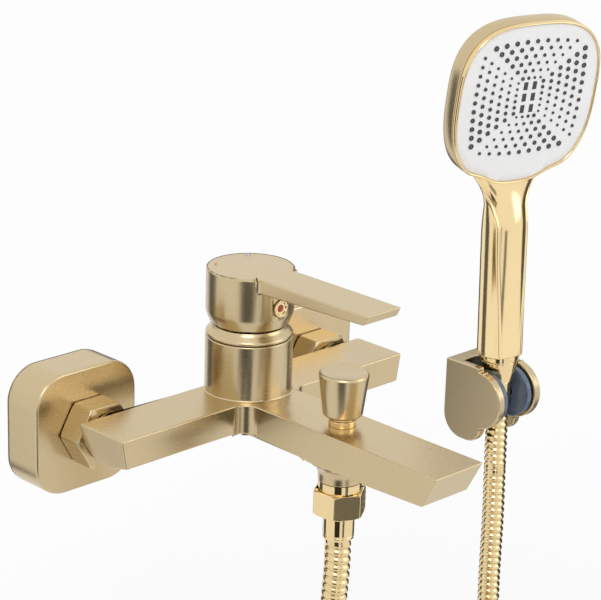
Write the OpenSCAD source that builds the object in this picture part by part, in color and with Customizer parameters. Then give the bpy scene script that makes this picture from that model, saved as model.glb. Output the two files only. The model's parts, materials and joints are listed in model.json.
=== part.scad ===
// Wall mounted bath and shower mixer with a hand shower, its hose and its wall bracket.
// Millimetres. The origin lies on the wall, midway between the two water connections.
// +X is to the right, +Z is up and the mixer stands out from the wall along -Y.

/* [Wall connections] */
// Distance between the two water connections
inlet_spacing = 150; // [130:1:176]
// How far the supply pipe's axis lies below the union's axis
eccentric_drop = 8; // [4:0.5:10]
// Radius of the thread that screws into the wall
wall_thread_r = 10.48; // [10.3:0.02:10.6]
// Length of the thread that screws into the wall
wall_thread_length = 13; // [10:1:20]
// Radius of the eccentric's thread under the union nut
union_thread_r = 13.22; // [13:0.02:13.4]
// Width and height of an escutcheon
escutcheon_size = 61; // [58:1:74]
// Depth of an escutcheon from the wall
escutcheon_depth = 22.5; // [18:0.5:24]
// Corner radius of an escutcheon
escutcheon_corner = 17; // [10:1:22]
// Wall of an escutcheon
escutcheon_wall = 1.6; // [1:0.1:2.4]
// Union nut across its flats
union_nut_flats = 30; // [29.5:0.5:36]
// Length of a union nut
union_nut_length = 13.5; // [12:0.5:16]

/* [Body] */
// Length of the bar from end to end
bar_length = 187; // [180:1:225]
// Depth of the bar
bar_depth = 31; // [29:0.5:34]
// Height of the bar's flat top above the union axis
bar_top = 12; // [11.9:0.1:13]
// Height of the bar's front face
bar_front = 14.5; // [13:0.5:18]
// How far the bar's ends lean inwards at the bottom
end_lean = 3; // [0:0.5:5]
// Diameter of the cartridge housing
housing_d = 43; // [43:0.5:52]
// Height of the cartridge housing above the bar
housing_height = 28; // [28:0.5:34]
// Radius of the fillets between the bar and the spout
corner_fillet = 8; // [4:1:12]
// Radius of the round boss behind each inlet
inlet_boss_r = 11.8; // [11:0.1:11.9]

/* [Spout] */
// Reach of the spout's tip from the housing's axis
spout_reach = 139.5; // [120:0.5:170]
// Width of the spout
spout_width = 31.4; // [30:0.2:38]
// Thickness of the spout
spout_thickness = 17; // [17:0.5:20]
// How far the spout's end face leans back at the bottom
tip_lean = 8.5; // [0:0.5:10]
// Radius of the aerator
aerator_r = 11.1; // [10:0.1:12]
// Distance from the tip's lower edge back to the aerator's axis
aerator_setback = 15; // [14.5:0.5:20]

/* [Lever] */
// Diameter of the lever's hub
hub_d = 43; // [42:0.5:50]
// Height of the lever's hub
hub_height = 27.6; // [26:0.2:32]
// Length of the lever from the housing's axis to its tip
lever_length = 89; // [70:1:115]
// Width of the lever
lever_width = 23; // [16:0.5:28]
// Thickness of the lever at the hub
lever_root = 7.2; // [6:0.2:8]
// Thickness of the lever at the tip
lever_tip = 4.8; // [3:0.2:6]
// Lift of the lever, from shut to full flow
lever_lift = 20; // [12:1:20]

/* [Diverter] */
// Distance from the housing's axis to the diverter's axis
diverter_offset = 65; // [58:0.5:72]
// Diameter of the knob's top
knob_top_d = 24; // [20:0.5:28]
// Diameter of the knob's base
knob_base_d = 19; // [15:0.5:20]
// Height of the knob
knob_height = 22; // [18:0.5:28]
// Diameter of the gland's collar under the knob
gland_collar_d = 13.2; // [12:0.2:15]
// Height of the gland's collar
gland_collar_height = 4.4; // [3:0.2:6]
// Travel of the diverter
diverter_travel = 7; // [5:0.5:7]

/* [Hose] */
// Diameter of the hose
hose_d = 13; // [12:0.5:14]
// Radius of the thread at the mixer's hose outlet
outlet_thread_r = 10.48; // [10.3:0.02:10.6]
// Hose nut across its flats
hose_nut_flats = 23; // [22.5:0.5:26]
// Height of the hose nut
hose_nut_height = 12.4; // [11:0.2:15]
// Diameter of the ferrules on the hose's ends
ferrule_d = 15.2; // [14.4:0.2:16]
// Length of the ferrules
ferrule_length = 13; // [10:0.5:16]

/* [Hand shower] */
// Width of the head
head_width = 92; // [80:1:110]
// Height of the head
head_height = 96; // [86:1:116]
// Thickness of the head
head_thickness = 16; // [11:0.5:18]
// Diameter of the handle
handle_d = 26; // [25:0.5:30]
// Distance from the holder's pivot to the head's centre
head_distance = 177; // [160:1:200]
// How far the head leans forward from the handle
head_lean = 12; // [0:1:15]
// Width of the polished rim round the spray plate
rim_width = 2.2; // [1.6:0.2:4]

/* [Bracket] */
// Distance from the mixer's centre to the bracket's centre
bracket_x = 228; // [215:1:300]
// Height of the holder's pivot
pivot_z = -57; // [-80:1:-40]
// Distance from the wall to the holder's pivot
pivot_depth = 25; // [24.5:0.5:32]
// Width of the bracket
bracket_width = 36; // [35:0.5:46]
// Radius of the holder's drum
drum_r = 15.5; // [15.5:0.1:16]
// Lean of the holder at rest: negative leans the hand shower's top towards the wall
rest_lean = -1.5; // [-2:0.5:20]
// Turn of the hand shower in its holder at rest
rest_turn = -15; // [-20:1:20]
// Distance between the two screw holes in the bracket's plate
screw_spacing = 22; // [18:1:24]

/* [Hidden] */
$fn = 96;

// Running and seating clearances
seat_gap = 0.1;      // beside a piece that is fixed in its seat
shaft_gap = 0.08;    // beside a shaft that turns or slides
free_gap = 0.3;      // between pieces that pass each other
overcut = 0.5;       // how far a cut runs past the face that it opens

// Wall connections
inlet_x = inlet_spacing / 2;
shoulder_start = 2;
shoulder_end = 12;
shoulder_r = 14;
supply_bore_r = 7;
union_bore_r = 8.5;
union_thread_end = 31;
union_nut_start = escutcheon_depth + 0.5;
union_nut_end = union_nut_start + union_nut_length;
union_nut_lip = 2.2;
nut_chamfer = 1.3;
washer_thickness = 1.1;
tail_flange_r = union_thread_r - 0.3;
tail_flange_start = union_thread_end + washer_thickness;
tail_flange_end = union_nut_end - union_nut_lip;
tail_r = 8.5;
tail_bore_r = 6.6;
tail_seat = 9.8;
valve_length = 9;
valve_bore_r = 3;

// Body
bar_back = union_nut_end + 3;
bar_mid = bar_back + bar_depth / 2;
bar_front_y = bar_back + bar_depth;
belly_r = 14;
belly_drop = 5.5;
boss_back = union_nut_end + 0.7;
boss_nose = bar_back + 10.5;
tail_end = boss_back + tail_seat;
housing_r = housing_d / 2;
housing_top = bar_top + housing_height;
housing_bottom = -4.5;
channel_r = 3.8;
channel_z = 3;
port_offset = 9;
outlet_port_offset = 11;

// Cartridge, in heights above the union axis
cavity_floor = bar_top + 3;
cavity_r = 17.6;
cartridge_r = cavity_r - 0.2;
base_top = cavity_floor + 4;
fixed_disc_top = base_top + 2.5;
moving_disc_bottom = fixed_disc_top + seat_gap;
moving_disc_top = moving_disc_bottom + 2;
carrier_bottom = moving_disc_top + free_gap;
pivot_height = cavity_floor + 12;
shell_top = cavity_floor + 19;
shell_roof = 2;
shell_bore_r = 15.7;
carrier_r = shell_bore_r - free_gap;
carrier_top = shell_top - shell_roof - free_gap;
neck_r = 9;
neck_top = shell_top + 1;
stem_x = 8;
stem_y = 6;
stem_tip_y = 3.2;
stem_bottom = moving_disc_top - 1.1;
stem_top = pivot_height + 38;
stem_shoulder = neck_top + 3;
stem_heel = pivot_height - 2.4;
stem_pin_r = 1.5;
stem_pin_length = 26;
cartridge_nut_r = 18.8;
cartridge_nut_top = shell_top + 4;
seal_r = 5.2;
seal_height = 1.5;

// Dome and hub
dome_gap = 0.4;
dome_bottom = housing_top + dome_gap;
dome_top = housing_top + 6;
dome_top_r = housing_r - 3;
dome_bore_r = cartridge_nut_r - 1.9;
dome_opening_r = 12.8;
hub_bottom = dome_top + 0.6;
hub_top = hub_bottom + hub_height;
hub_r = hub_d / 2;
hub_rim_r = dome_top_r + 0.7;
hub_taper = 6.9;
swing_r = norm([dome_top_r, dome_top - pivot_height]) + free_gap;
lever_fillet = 3;
lever_end_lean = 2.5;
plug_z = hub_bottom + 11.6;
plug_r = 4.2;
screw_r = 2.5;
mark_thickness = 0.12;
mark_radius = hub_r - 4.5;
mark_turn = 39;

// Diverter
gland_plug_r = 4.9;
diverter_stem_r = 2.52;
chamber_r = 7;
chamber_floor = -6.2;
chamber_roof = chamber_floor + 3.7 + diverter_travel;
chamber_seat_r = 5;
plunger_height = 3;
plunger_bottom = chamber_floor + free_gap;
plunger_top = plunger_bottom + plunger_height;
gland_bottom = bar_top - 2.2;
gland_top = bar_top + gland_collar_height;
knob_bottom = gland_top + 0.2;
knob_top = knob_bottom + knob_height;
spring_r = 3.9;
spring_wire_r = 0.45;
spring_turns = 5;

// Spout
spout_bottom = bar_top - spout_thickness;
spout_tip_bottom = spout_bottom + 1;
spout_root_bottom = spout_bottom + 0.8;
tip_y = bar_mid + spout_reach;
aerator_y = tip_y - tip_lean - aerator_setback;
aerator_top = bar_top - 4;
aerator_wall = 1.5;
spout_channel_r = 2.3;
spout_channel_z = chamber_roof + 2.4;
diverter_y = bar_mid + diverter_offset;

// Hose outlet, going down from the spout
outlet_boss_r = 10.7;
outlet_boss_bottom = -16;
outlet_flare = 8;
nipple_plug_r = 7.9;
nipple_bore_r = 4.2;
nipple_end = outlet_boss_bottom - 10.5;
hose_washer_end = nipple_end - 1.5;
hose_nut_top = outlet_boss_bottom - 4.4;
hose_nut_end = hose_nut_top - hose_nut_height;
hose_nut_lip = 2.6;
hose_nut_turn = 33;
ferrule_flange_r = 9.4;
ferrule_neck_r = 5.6;
ferrule_r = ferrule_d / 2;
ferrule_end = hose_nut_end - ferrule_length;
hose_r = hose_d / 2;

// Hose route: it drops from the mixer, is wound into a tied coil and rises to the hand shower
hose_drop_points = [
    [0, -120, -46], [0, -120, -60], [0, -119, -76], [2, -116, -94], [7, -111, -114],
    [17, -104, -136], [31, -95, -158], [48, -86, -180], [65, -78, -200], [80, -72, -221],
    [90, -68, -242], [94, -66, -262], [95, -66, -275]];
hose_rise_points = [
    [225, -31, -275], [225, -31, -258], [226, -30.5, -238], [227, -29, -216], [228, -27.6, -194],
    [228, -27, -172], [228, -27, -152], [228, -27, -132], [228, -26.5, -114], [228, -26.2, -102]];
hose_top_points = [
    [228, -26.2, -102], [228, -25.9, -90], [228, -25.5, -74], [228, -25.1, -60.2]];
coil_x = 160;
coil_z = -275;
coil_r = 65;
coil_turns = 2.5;
coil_pitch = 14;
coil_start_y = -66;
tube_sides = 10;

// Bracket, in the frame of the holder's pivot
bracket_half = bracket_width / 2;
cheek_thickness = 5;
cheek_inner = bracket_half - cheek_thickness;
drum_half = cheek_inner - 0.8;
holder_slot_half = 8.4;
drum_bore_r = 8.65;
cheek_r = 17;
bracket_top = 19.5;
bracket_drop = 26.5;
web_front = pivot_depth - drum_r - 0.4;
web_back = web_front - 3;
plate_thickness = 3;
plate_width = 25;
plate_height = 34;
screw_hole_r = 2.3;
holder_pin_r = 3;
holder_pin_inner = holder_slot_half + 1;
holder_pin_outer = bracket_half - 1;

// Hand shower, in the frame of the holder's pivot with +Z along the handle
handle_bottom = 25;
handle_r = handle_d / 2;
cone_nut_length = 16;
cone_nut_top_r = 10.75;
cone_nut_end_r = 8.5;
cone_nut_end = handle_bottom - cone_nut_length;
cone_nut_lip = 2.4;
handset_thread_r = 8.33;
handset_nipple_end = handle_bottom - 10;
core_r = 9.3;
core_bore_r = 5;
neck_start = head_distance - head_height / 2 - 26;
core_top = neck_start - 3;
head_forward = 2;
upper_ferrule_r = 7;
upper_ferrule_end = cone_nut_end - 12.2;
head_up = 4.5;
head_share = 0.455;
head_top_power = 3;
head_foot_power = 2.7;
tongue_pinch = 3;
tongue_half = 23;
tongue_soft = 9;
plate_gap = 0.15;
spray_plate_thickness = 2;
nozzle_height = 0.5;
nozzle_r_large = 1.6;
nozzle_r_small = 0.95;
fan_bow = 0.003;

// ---- helpers ----

// A rod along Y from the distance out_from to the distance out_to from the wall
module y_rod(r, out_from, out_to, x = 0, z = 0) {
    translate([x, -out_from, z]) rotate([90, 0, 0]) cylinder(h = out_to - out_from, r = r);
}

// A rod along X
module x_rod(r, from, to, out, z) {
    translate([from, -out, z]) rotate([0, 90, 0]) cylinder(h = to - from, r = r);
}

// A rod along Z at a distance out from the wall
module z_rod(r, from, to, x = 0, out = 0) {
    translate([x, -out, from]) cylinder(h = to - from, r = r);
}

// A box between two corners
module block(low, high) {
    translate(low) cube(high - low);
}

// A side outline in (distance from the wall, height), extruded across X
module side_extrude(width) {
    translate([-width / 2, 0, 0]) rotate([90, 0, 90]) linear_extrude(width) mirror([1, 0])
        children();
}

// A hexagonal nut along Z from 0 to height, with chamfered corners
module hex_nut(flats, height, turn = 0) {
    corner_r = flats / sqrt(3);
    intersection() {
        rotate([0, 0, turn]) cylinder(h = height, r = corner_r, $fn = 6);
        rotate_extrude() polygon([[0, 0], [corner_r - nut_chamfer, 0],
            [corner_r, nut_chamfer * 0.6], [corner_r, height - nut_chamfer * 0.6],
            [corner_r - nut_chamfer, height], [0, height]]);
    }
}

// A ring along Z
module ring(outer_r, inner_r, height) {
    difference() {
        cylinder(h = height, r = outer_r);
        translate([0, 0, -overcut]) cylinder(h = height + 2 * overcut, r = inner_r);
    }
}

// Places children in the frame of the holder's pivot, leaning with the holder
module in_holder() {
    translate([bracket_x, -pivot_depth, pivot_z]) rotate([rest_lean, 0, 0]) children();
}

// Places children in the hand shower's own frame, turned in its holder
module in_handset() {
    in_holder() rotate([0, 0, rest_turn]) children();
}

// Places children at the head's centre, leaning forward from the handle, with -Y its front
module in_head() {
    in_handset() translate([0, -head_forward, head_distance]) rotate([head_lean, 0, 0])
        children();
}

// The head's outline: a rounded square whose lower edge sags to a tongue over the handle
function head_edge(width, height, step = 5) = [for (a = [0 : step : 359])
    let (up = sin(a) > 0, n = up ? head_top_power : head_foot_power,
        half = height * (up ? head_share : 1 - head_share),
        x = width / 2 * sign(cos(a)) * pow(abs(cos(a)), 2 / n),
        z = half * sign(sin(a)) * pow(abs(sin(a)), 2 / n),
        pinch = up ? 0 : tongue_pinch * exp(-pow((abs(x) - tongue_half) / tongue_soft, 2)))
    [x, head_up + z + pinch * abs(sin(a))]];

// A slab of the head's outline, from one depth to another along -Y
module head_slab(width, height, from, to) {
    translate([0, -from, 0]) rotate([90, 0, 0]) linear_extrude(to - from)
        polygon(head_edge(width, height));
}

// A tube along a list of points; each ring stands square to the path
function unit(v) = v / norm(v);
function tangent(p, i) = unit(i == 0 ? p[1] - p[0]
    : i == len(p) - 1 ? p[i] - p[i - 1] : unit(p[i] - p[i - 1]) + unit(p[i + 1] - p[i]));
module tube(points, r) {
    rings = [for (i = [0 : len(points) - 1])
        let (t = tangent(points, i), side = unit(cross([0, 1, 0], t)), top = cross(t, side))
        [for (k = [0 : tube_sides - 1]) points[i]
            + r * (cos(k * 360 / tube_sides) * side + sin(k * 360 / tube_sides) * top)]];
    skin = [for (i = [0 : len(points) - 2], k = [0 : tube_sides - 1])
        let (a = i * tube_sides + k, b = i * tube_sides + (k + 1) % tube_sides)
        [a, a + tube_sides, b + tube_sides, b]];
    last = (len(points) - 1) * tube_sides;
    polyhedron([for (one = rings) each one], concat(skin,
        [[for (k = [0 : tube_sides - 1]) k]],
        [[for (k = [tube_sides - 1 : -1 : 0]) last + k]]));
}

// ---- wall connections ----

module escutcheon(x) {
    half = escutcheon_size / 2;
    core = half - escutcheon_corner;
    module outline(inset) {
        for (s = [-1, 1], t = [-1, 1])
            translate([s * core, t * core]) circle(escutcheon_corner - inset);
        square([2 * core, 2 * (half - inset)], center = true);
        square([2 * (half - inset), 2 * core], center = true);
    }
    color("darkkhaki") translate([x, 0, 0]) rotate([90, 0, 0]) difference() {
        linear_extrude(escutcheon_depth) outline(0);
        translate([0, 0, -overcut])
            linear_extrude(escutcheon_depth - escutcheon_wall + overcut) outline(escutcheon_wall);
        cylinder(h = escutcheon_depth + overcut, r = union_thread_r + free_gap);
    }
}
module escutcheon_left() { escutcheon(-inlet_x); }
module escutcheon_right() { escutcheon(inlet_x); }

module eccentric(x) {
    color("goldenrod") difference() {
        union() {
            y_rod(wall_thread_r, -wall_thread_length, shoulder_start, x, -eccentric_drop);
            y_rod(shoulder_r, shoulder_start, shoulder_end, x, -eccentric_drop);
            y_rod(shoulder_r, shoulder_start, shoulder_end, x, 0);
            block([x - shoulder_r, -shoulder_end, -eccentric_drop],
                [x + shoulder_r, -shoulder_start, 0]);
            y_rod(union_thread_r, shoulder_end, union_thread_end, x, 0);
        }
        y_rod(supply_bore_r, -wall_thread_length - overcut, 8, x, -eccentric_drop);
        y_rod(union_bore_r, 5, union_thread_end + overcut, x, 0);
    }
}
module eccentric_left() { eccentric(-inlet_x); }
module eccentric_right() { eccentric(inlet_x); }

module union_nut(x) {
    color("khaki") difference() {
        translate([x, -union_nut_start, 0]) rotate([90, 0, 0])
            hex_nut(union_nut_flats, union_nut_length);
        y_rod(union_thread_r + seat_gap, union_nut_start - overcut, tail_flange_end, x, 0);
        y_rod(tail_r + free_gap, tail_flange_end - overcut, union_nut_end + overcut, x, 0);
    }
}
module union_nut_left() { union_nut(-inlet_x); }
module union_nut_right() { union_nut(inlet_x); }

module union_tail(x) {
    color("peru") difference() {
        union() {
            y_rod(tail_flange_r, tail_flange_start, tail_flange_end, x, 0);
            y_rod(tail_r, tail_flange_end - overcut, tail_end, x, 0);
        }
        y_rod(tail_bore_r, tail_flange_start - overcut, tail_end + overcut, x, 0);
    }
}
module union_tail_left() { union_tail(-inlet_x); }
module union_tail_right() { union_tail(inlet_x); }

module inlet_washers() {
    color("dimgray") for (x = [-inlet_x, inlet_x]) translate([x, -union_thread_end, 0])
        rotate([90, 0, 0]) ring(tail_flange_r, union_bore_r, washer_thickness);
}

module check_valves() {
    color("white") for (x = [-inlet_x, inlet_x]) translate([x, -tail_flange_end, 0])
        rotate([90, 0, 0]) ring(tail_bore_r - seat_gap, valve_bore_r, valve_length);
}

// ---- body ----

// The bar: its side outline has a rounded belly at the back, and its ends lean inwards
module bar() {
    intersection() {
        side_extrude(bar_length) union() {
            intersection() {
                polygon([[bar_back, bar_top], [bar_front_y, bar_top],
                    [bar_front_y, bar_top - bar_front], [bar_back + belly_r + 5, -belly_drop],
                    [bar_back, -belly_drop]]);
                union() {
                    translate([bar_back + belly_r, belly_r - belly_drop]) circle(belly_r);
                    translate([bar_back + belly_r, -belly_drop])
                        square([bar_depth, bar_top + belly_drop]);
                    translate([bar_back, belly_r - belly_drop])
                        square([bar_depth, bar_top - belly_r + belly_drop]);
                }
            }
        }
        translate([0, -bar_back + overcut, 0]) rotate([90, 0, 0])
            linear_extrude(bar_depth + 2 * overcut)
            polygon([[-bar_length / 2, bar_top], [bar_length / 2, bar_top],
                [bar_length / 2 - end_lean, -belly_drop],
                [-bar_length / 2 + end_lean, -belly_drop]]);
    }
}

// The spout: flat top, slightly bellied underside and an end face that leans back
module spout() {
    side_extrude(spout_width) polygon([[bar_mid, bar_top], [tip_y, bar_top],
        [tip_y - tip_lean, spout_tip_bottom], [aerator_y - aerator_r - 4, spout_bottom],
        [diverter_y + 14, spout_bottom], [bar_front_y, spout_root_bottom],
        [bar_mid, spout_root_bottom]]);
}

// The fillet in the corner between the bar and one side of the spout
module corner_web(side) {
    x = spout_width / 2;
    translate([0, 0, spout_root_bottom + 1.3]) linear_extrude(bar_top - spout_root_bottom - 1.3)
        difference() {
            polygon([[side * (x - 1), -bar_front_y + 1], [side * (x + corner_fillet),
                -bar_front_y + 1], [side * (x + corner_fillet), -bar_front_y],
                [side * (x + corner_fillet), -bar_front_y - corner_fillet],
                [side * x, -bar_front_y - corner_fillet], [side * (x - 1),
                -bar_front_y - corner_fillet]]);
            translate([side * (x + corner_fillet), -bar_front_y - corner_fillet])
                circle(corner_fillet);
        }
}

// The flared boss under the spout that carries the hose outlet, as wide as the spout
module outlet_boss() {
    flare_top = outlet_boss_bottom + 3 + outlet_flare;
    intersection() {
        translate([0, -diverter_y, 0]) rotate_extrude() difference() {
            polygon([[0, outlet_boss_bottom], [outlet_boss_r, outlet_boss_bottom],
                [outlet_boss_r, flare_top - outlet_flare],
                [outlet_boss_r + outlet_flare, flare_top - outlet_flare],
                [outlet_boss_r + outlet_flare, flare_top], [outlet_boss_r + outlet_flare, 0],
                [0, 0]]);
            translate([outlet_boss_r + outlet_flare, flare_top - outlet_flare])
                circle(outlet_flare);
        }
        block([-spout_width / 2, -diverter_y - 30, outlet_boss_bottom],
            [spout_width / 2, -diverter_y + 30, 0]);
    }
}

module body() {
    color("tan") difference() {
        union() {
            bar();
            spout();
            for (side = [-1, 1]) corner_web(side);
            outlet_boss();
            z_rod(housing_r, housing_bottom, housing_top, 0, bar_mid);
            for (x = [-inlet_x, inlet_x]) {
                y_rod(inlet_boss_r, boss_back, boss_nose, x, 0);
                translate([x, -boss_nose, 0]) rotate([90, 0, 0]) sphere(inlet_boss_r);
            }
        }
        // cartridge cavity and the wider thread for its nut
        z_rod(cavity_r, cavity_floor, housing_top + overcut, 0, bar_mid);
        z_rod(cartridge_nut_r + seat_gap, shell_top - 0.5, housing_top + overcut, 0, bar_mid);
        for (side = [-1, 1]) {
            // sockets of the tails, and the waterways to the cartridge
            y_rod(tail_r + seat_gap, boss_back - overcut, tail_end + 0.2, side * inlet_x, 0);
            y_rod(channel_r, tail_end, bar_mid + 1, side * inlet_x, channel_z - 1);
            x_rod(channel_r - 0.3, side > 0 ? port_offset - 1 : -inlet_x,
                side > 0 ? inlet_x : 1 - port_offset, bar_mid, channel_z);
            z_rod(channel_r, channel_z, cavity_floor + overcut, side * port_offset, bar_mid);
            // the two waterways from the diverter to the aerator
            y_rod(spout_channel_r, diverter_y, aerator_y, side * (spout_channel_r + 0.4),
                spout_channel_z);
        }
        // mixed water runs from the cartridge to the diverter
        z_rod(channel_r, 0.5, cavity_floor + overcut, 0, bar_mid + outlet_port_offset);
        y_rod(channel_r - 0.4, bar_mid + outlet_port_offset, diverter_y, 0, 0.5);
        // the diverter's chamber, the seat above it and the gland's hole
        z_rod(chamber_r, chamber_floor, chamber_roof, 0, diverter_y);
        z_rod(chamber_seat_r, chamber_roof - overcut, bar_top + overcut, 0, diverter_y);
        z_rod(nipple_plug_r + seat_gap, outlet_boss_bottom - overcut, chamber_floor + 0.01, 0,
            diverter_y);
        // the aerator's pocket
        z_rod(aerator_r + seat_gap, spout_bottom - overcut, aerator_top, 0, aerator_y);
    }
}

// ---- cartridge ----

module port_places() {
    for (side = [-1, 1]) translate([side * port_offset, -bar_mid, 0]) children();
    translate([0, -bar_mid - outlet_port_offset, 0]) children();
}

module cartridge_base() {
    color("white") difference() {
        z_rod(cartridge_r, cavity_floor, base_top, 0, bar_mid);
        port_places() translate([0, 0, cavity_floor - overcut]) {
            cylinder(h = 10, r = 3.4);
            cylinder(h = seal_height + overcut, r = seal_r + seat_gap);
        }
    }
}

module cartridge_seals() {
    color("black") port_places() translate([0, 0, cavity_floor])
        ring(seal_r, channel_r, seal_height);
}

module cartridge_shell() {
    color("gainsboro") translate([0, -bar_mid, 0]) difference() {
        z_rod(cartridge_r, base_top, shell_top);
        z_rod(shell_bore_r, base_top - overcut, shell_top - shell_roof);
        z_rod(neck_r + free_gap, shell_top - 5, shell_top + overcut);
    }
}

module fixed_disc() {
    color("ivory") difference() {
        z_rod(14, base_top, fixed_disc_top, 0, bar_mid);
        port_places() translate([0, 0, base_top - overcut]) cylinder(h = 5, r = 2.9);
    }
}

module moving_disc() {
    color("snow") translate([0, -bar_mid, 0]) difference() {
        z_rod(12, moving_disc_bottom, moving_disc_top);
        block([-stem_x / 2 - free_gap, -stem_tip_y / 2 - 0.45, moving_disc_top - 1.6],
            [stem_x / 2 + free_gap, stem_tip_y / 2 + 0.45, moving_disc_top + overcut]);
    }
}

module cartridge_carrier() {
    color("silver") translate([0, -bar_mid, 0]) difference() {
        union() {
            z_rod(carrier_r, carrier_bottom, carrier_top);
            z_rod(neck_r, carrier_top - overcut, neck_top);
        }
        block([-stem_x / 2 - 0.15, -5.2, carrier_bottom - overcut],
            [stem_x / 2 + 0.15, 6.8, neck_top + overcut]);
        x_rod(stem_pin_r + shaft_gap, -carrier_r - 1, carrier_r + 1, 0, pivot_height);
    }
}

module stem_pin() {
    color("dimgray") x_rod(stem_pin_r, -stem_pin_length / 2, stem_pin_length / 2, bar_mid,
        pivot_height);
}

module cartridge_stem() {
    color("darkgray") translate([0, -bar_mid, 0]) difference() {
        union() {
            block([-stem_x / 2, -stem_tip_y / 2, stem_bottom],
                [stem_x / 2, stem_tip_y / 2, pivot_height]);
            block([-stem_x / 2, -stem_y / 2, stem_heel], [stem_x / 2, stem_y / 2, stem_top]);
            block([-stem_x / 2, -stem_x / 2, stem_shoulder], [stem_x / 2, stem_x / 2, stem_top]);
        }
        x_rod(stem_pin_r + shaft_gap, -stem_x, stem_x, 0, pivot_height);
    }
}

module cartridge_nut() {
    color("darkgoldenrod") translate([0, -bar_mid, shell_top]) difference() {
        ring(cartridge_nut_r, 13.2, cartridge_nut_top - shell_top);
        for (a = [0 : 60 : 359]) rotate([0, 0, a])
            block([12, -1.5, 2], [15.5, 1.5, 8]);
    }
}

module dome_cover() {
    color("wheat") translate([0, -bar_mid, 0]) difference() {
        union() {
            rotate_extrude() polygon([[0, dome_bottom], [housing_r, dome_bottom],
                [housing_r - 0.6, dome_bottom + 1.2], [dome_top_r + 0.5, dome_top - 1.6],
                [dome_top_r, dome_top], [0, dome_top]]);
            z_rod(cartridge_nut_r, cartridge_nut_top + seat_gap, dome_bottom + overcut);
        }
        z_rod(dome_bore_r, cartridge_nut_top - overcut, dome_top - 1.4);
        z_rod(dome_opening_r, dome_top - 3, dome_top + overcut);
    }
}

// ---- lever ----

// The small fillet in plan between the round hub and one side of the lever
module lever_web(side) {
    cx = lever_width / 2 + lever_fillet;
    cy = -sqrt(pow(hub_r + lever_fillet, 2) - pow(cx, 2));
    touch = hub_r / (hub_r + lever_fillet);
    difference() {
        polygon([[0, 0], [side * cx * touch, cy * touch], [side * cx, cy],
            [side * lever_width / 2, cy], [0, cy]]);
        translate([side * cx, cy]) circle(lever_fillet);
    }
}

module lever_handle() {
    lever_bottom = hub_top - lever_root;
    color("tan") difference() {
        union() {
            translate([0, -bar_mid, 0]) {
                rotate_extrude() polygon([[0, hub_bottom], [hub_rim_r, hub_bottom],
                    [hub_rim_r + 0.9, hub_bottom + 2.2], [hub_r - 0.35, hub_bottom + 5],
                    [hub_r, hub_bottom + hub_taper], [hub_r, hub_top - 0.5],
                    [hub_r - 0.5, hub_top], [0, hub_top]]);
                translate([0, 0, lever_bottom]) linear_extrude(lever_root)
                    for (side = [-1, 1]) lever_web(side);
            }
            side_extrude(lever_width) polygon([[bar_mid, hub_top],
                [bar_mid + lever_length, hub_top],
                [bar_mid + lever_length - lever_end_lean, hub_top - lever_tip],
                [bar_mid + hub_r, lever_bottom], [bar_mid, lever_bottom]]);
        }
        translate([0, -bar_mid, pivot_height]) sphere(swing_r);
        block([-stem_x / 2 - seat_gap, -bar_mid - stem_x / 2 - seat_gap, pivot_height],
            [stem_x / 2 + seat_gap, -bar_mid + stem_x / 2 + seat_gap, stem_top + seat_gap]);
        y_rod(screw_r + seat_gap, bar_mid, bar_mid + hub_r - 4, 0, plug_z);
        y_rod(plug_r + seat_gap, bar_mid + hub_r - 6, bar_mid + hub_r + 2, 0, plug_z);
    }
}

module handle_set_screw() {
    color("dimgray") difference() {
        y_rod(screw_r, bar_mid + stem_x / 2, bar_mid + stem_x / 2 + 9, 0, plug_z);
        translate([0, -bar_mid - stem_x / 2 - 6, plug_z]) rotate([90, 0, 0])
            cylinder(h = 4, r = 1.45, $fn = 6);
    }
}

module handle_plug() {
    color("gold") difference() {
        y_rod(plug_r, bar_mid + hub_r - 5.8, bar_mid + hub_r + 0.5, 0, plug_z);
        y_rod(plug_r - 1.1, bar_mid + hub_r - 0.2, bar_mid + hub_r + 1, 0, plug_z);
    }
}

module plug_index() {
    color("firebrick") y_rod(1.3, bar_mid + hub_r - 0.2, bar_mid + hub_r + 0.2, 0, plug_z);
}

module hot_mark() {
    color("firebrick") translate([0, -bar_mid, hub_top]) rotate([0, 0, 90 + mark_turn])
        block([mark_radius - 0.4, -1.6, 0], [mark_radius + 0.4, 1.6, mark_thickness]);
}

module cold_mark() {
    color("royalblue") translate([0, -bar_mid, hub_top]) rotate([0, 0, 90 - mark_turn])
        for (s = [-1, 1]) block([mark_radius - 0.9, s * 0.9 - 0.35, 0],
            [mark_radius + 0.9, s * 0.9 + 0.35, mark_thickness]);
}

// ---- diverter ----

module diverter_knob() {
    top_r = knob_top_d / 2;
    base_r = knob_base_d / 2;
    color("tan") translate([0, -diverter_y, 0]) difference() {
        rotate_extrude() polygon([[0, knob_bottom], [base_r - 1.4, knob_bottom],
            [base_r, knob_bottom + 1.2], [top_r, knob_top - 1], [top_r - 0.3, knob_top - 0.3],
            [top_r - 1, knob_top], [top_r - 2.2, knob_top - 0.2], [0, knob_top - 0.9]]);
        z_rod(diverter_stem_r + 0.05, knob_bottom - overcut, knob_top - 5);
    }
}

module diverter_stem() {
    color("silver") z_rod(diverter_stem_r, plunger_top, knob_top - 5, 0, diverter_y);
}

module diverter_plunger() {
    color("dimgray") z_rod(chamber_r - free_gap, plunger_bottom, plunger_top, 0, diverter_y);
}

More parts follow.
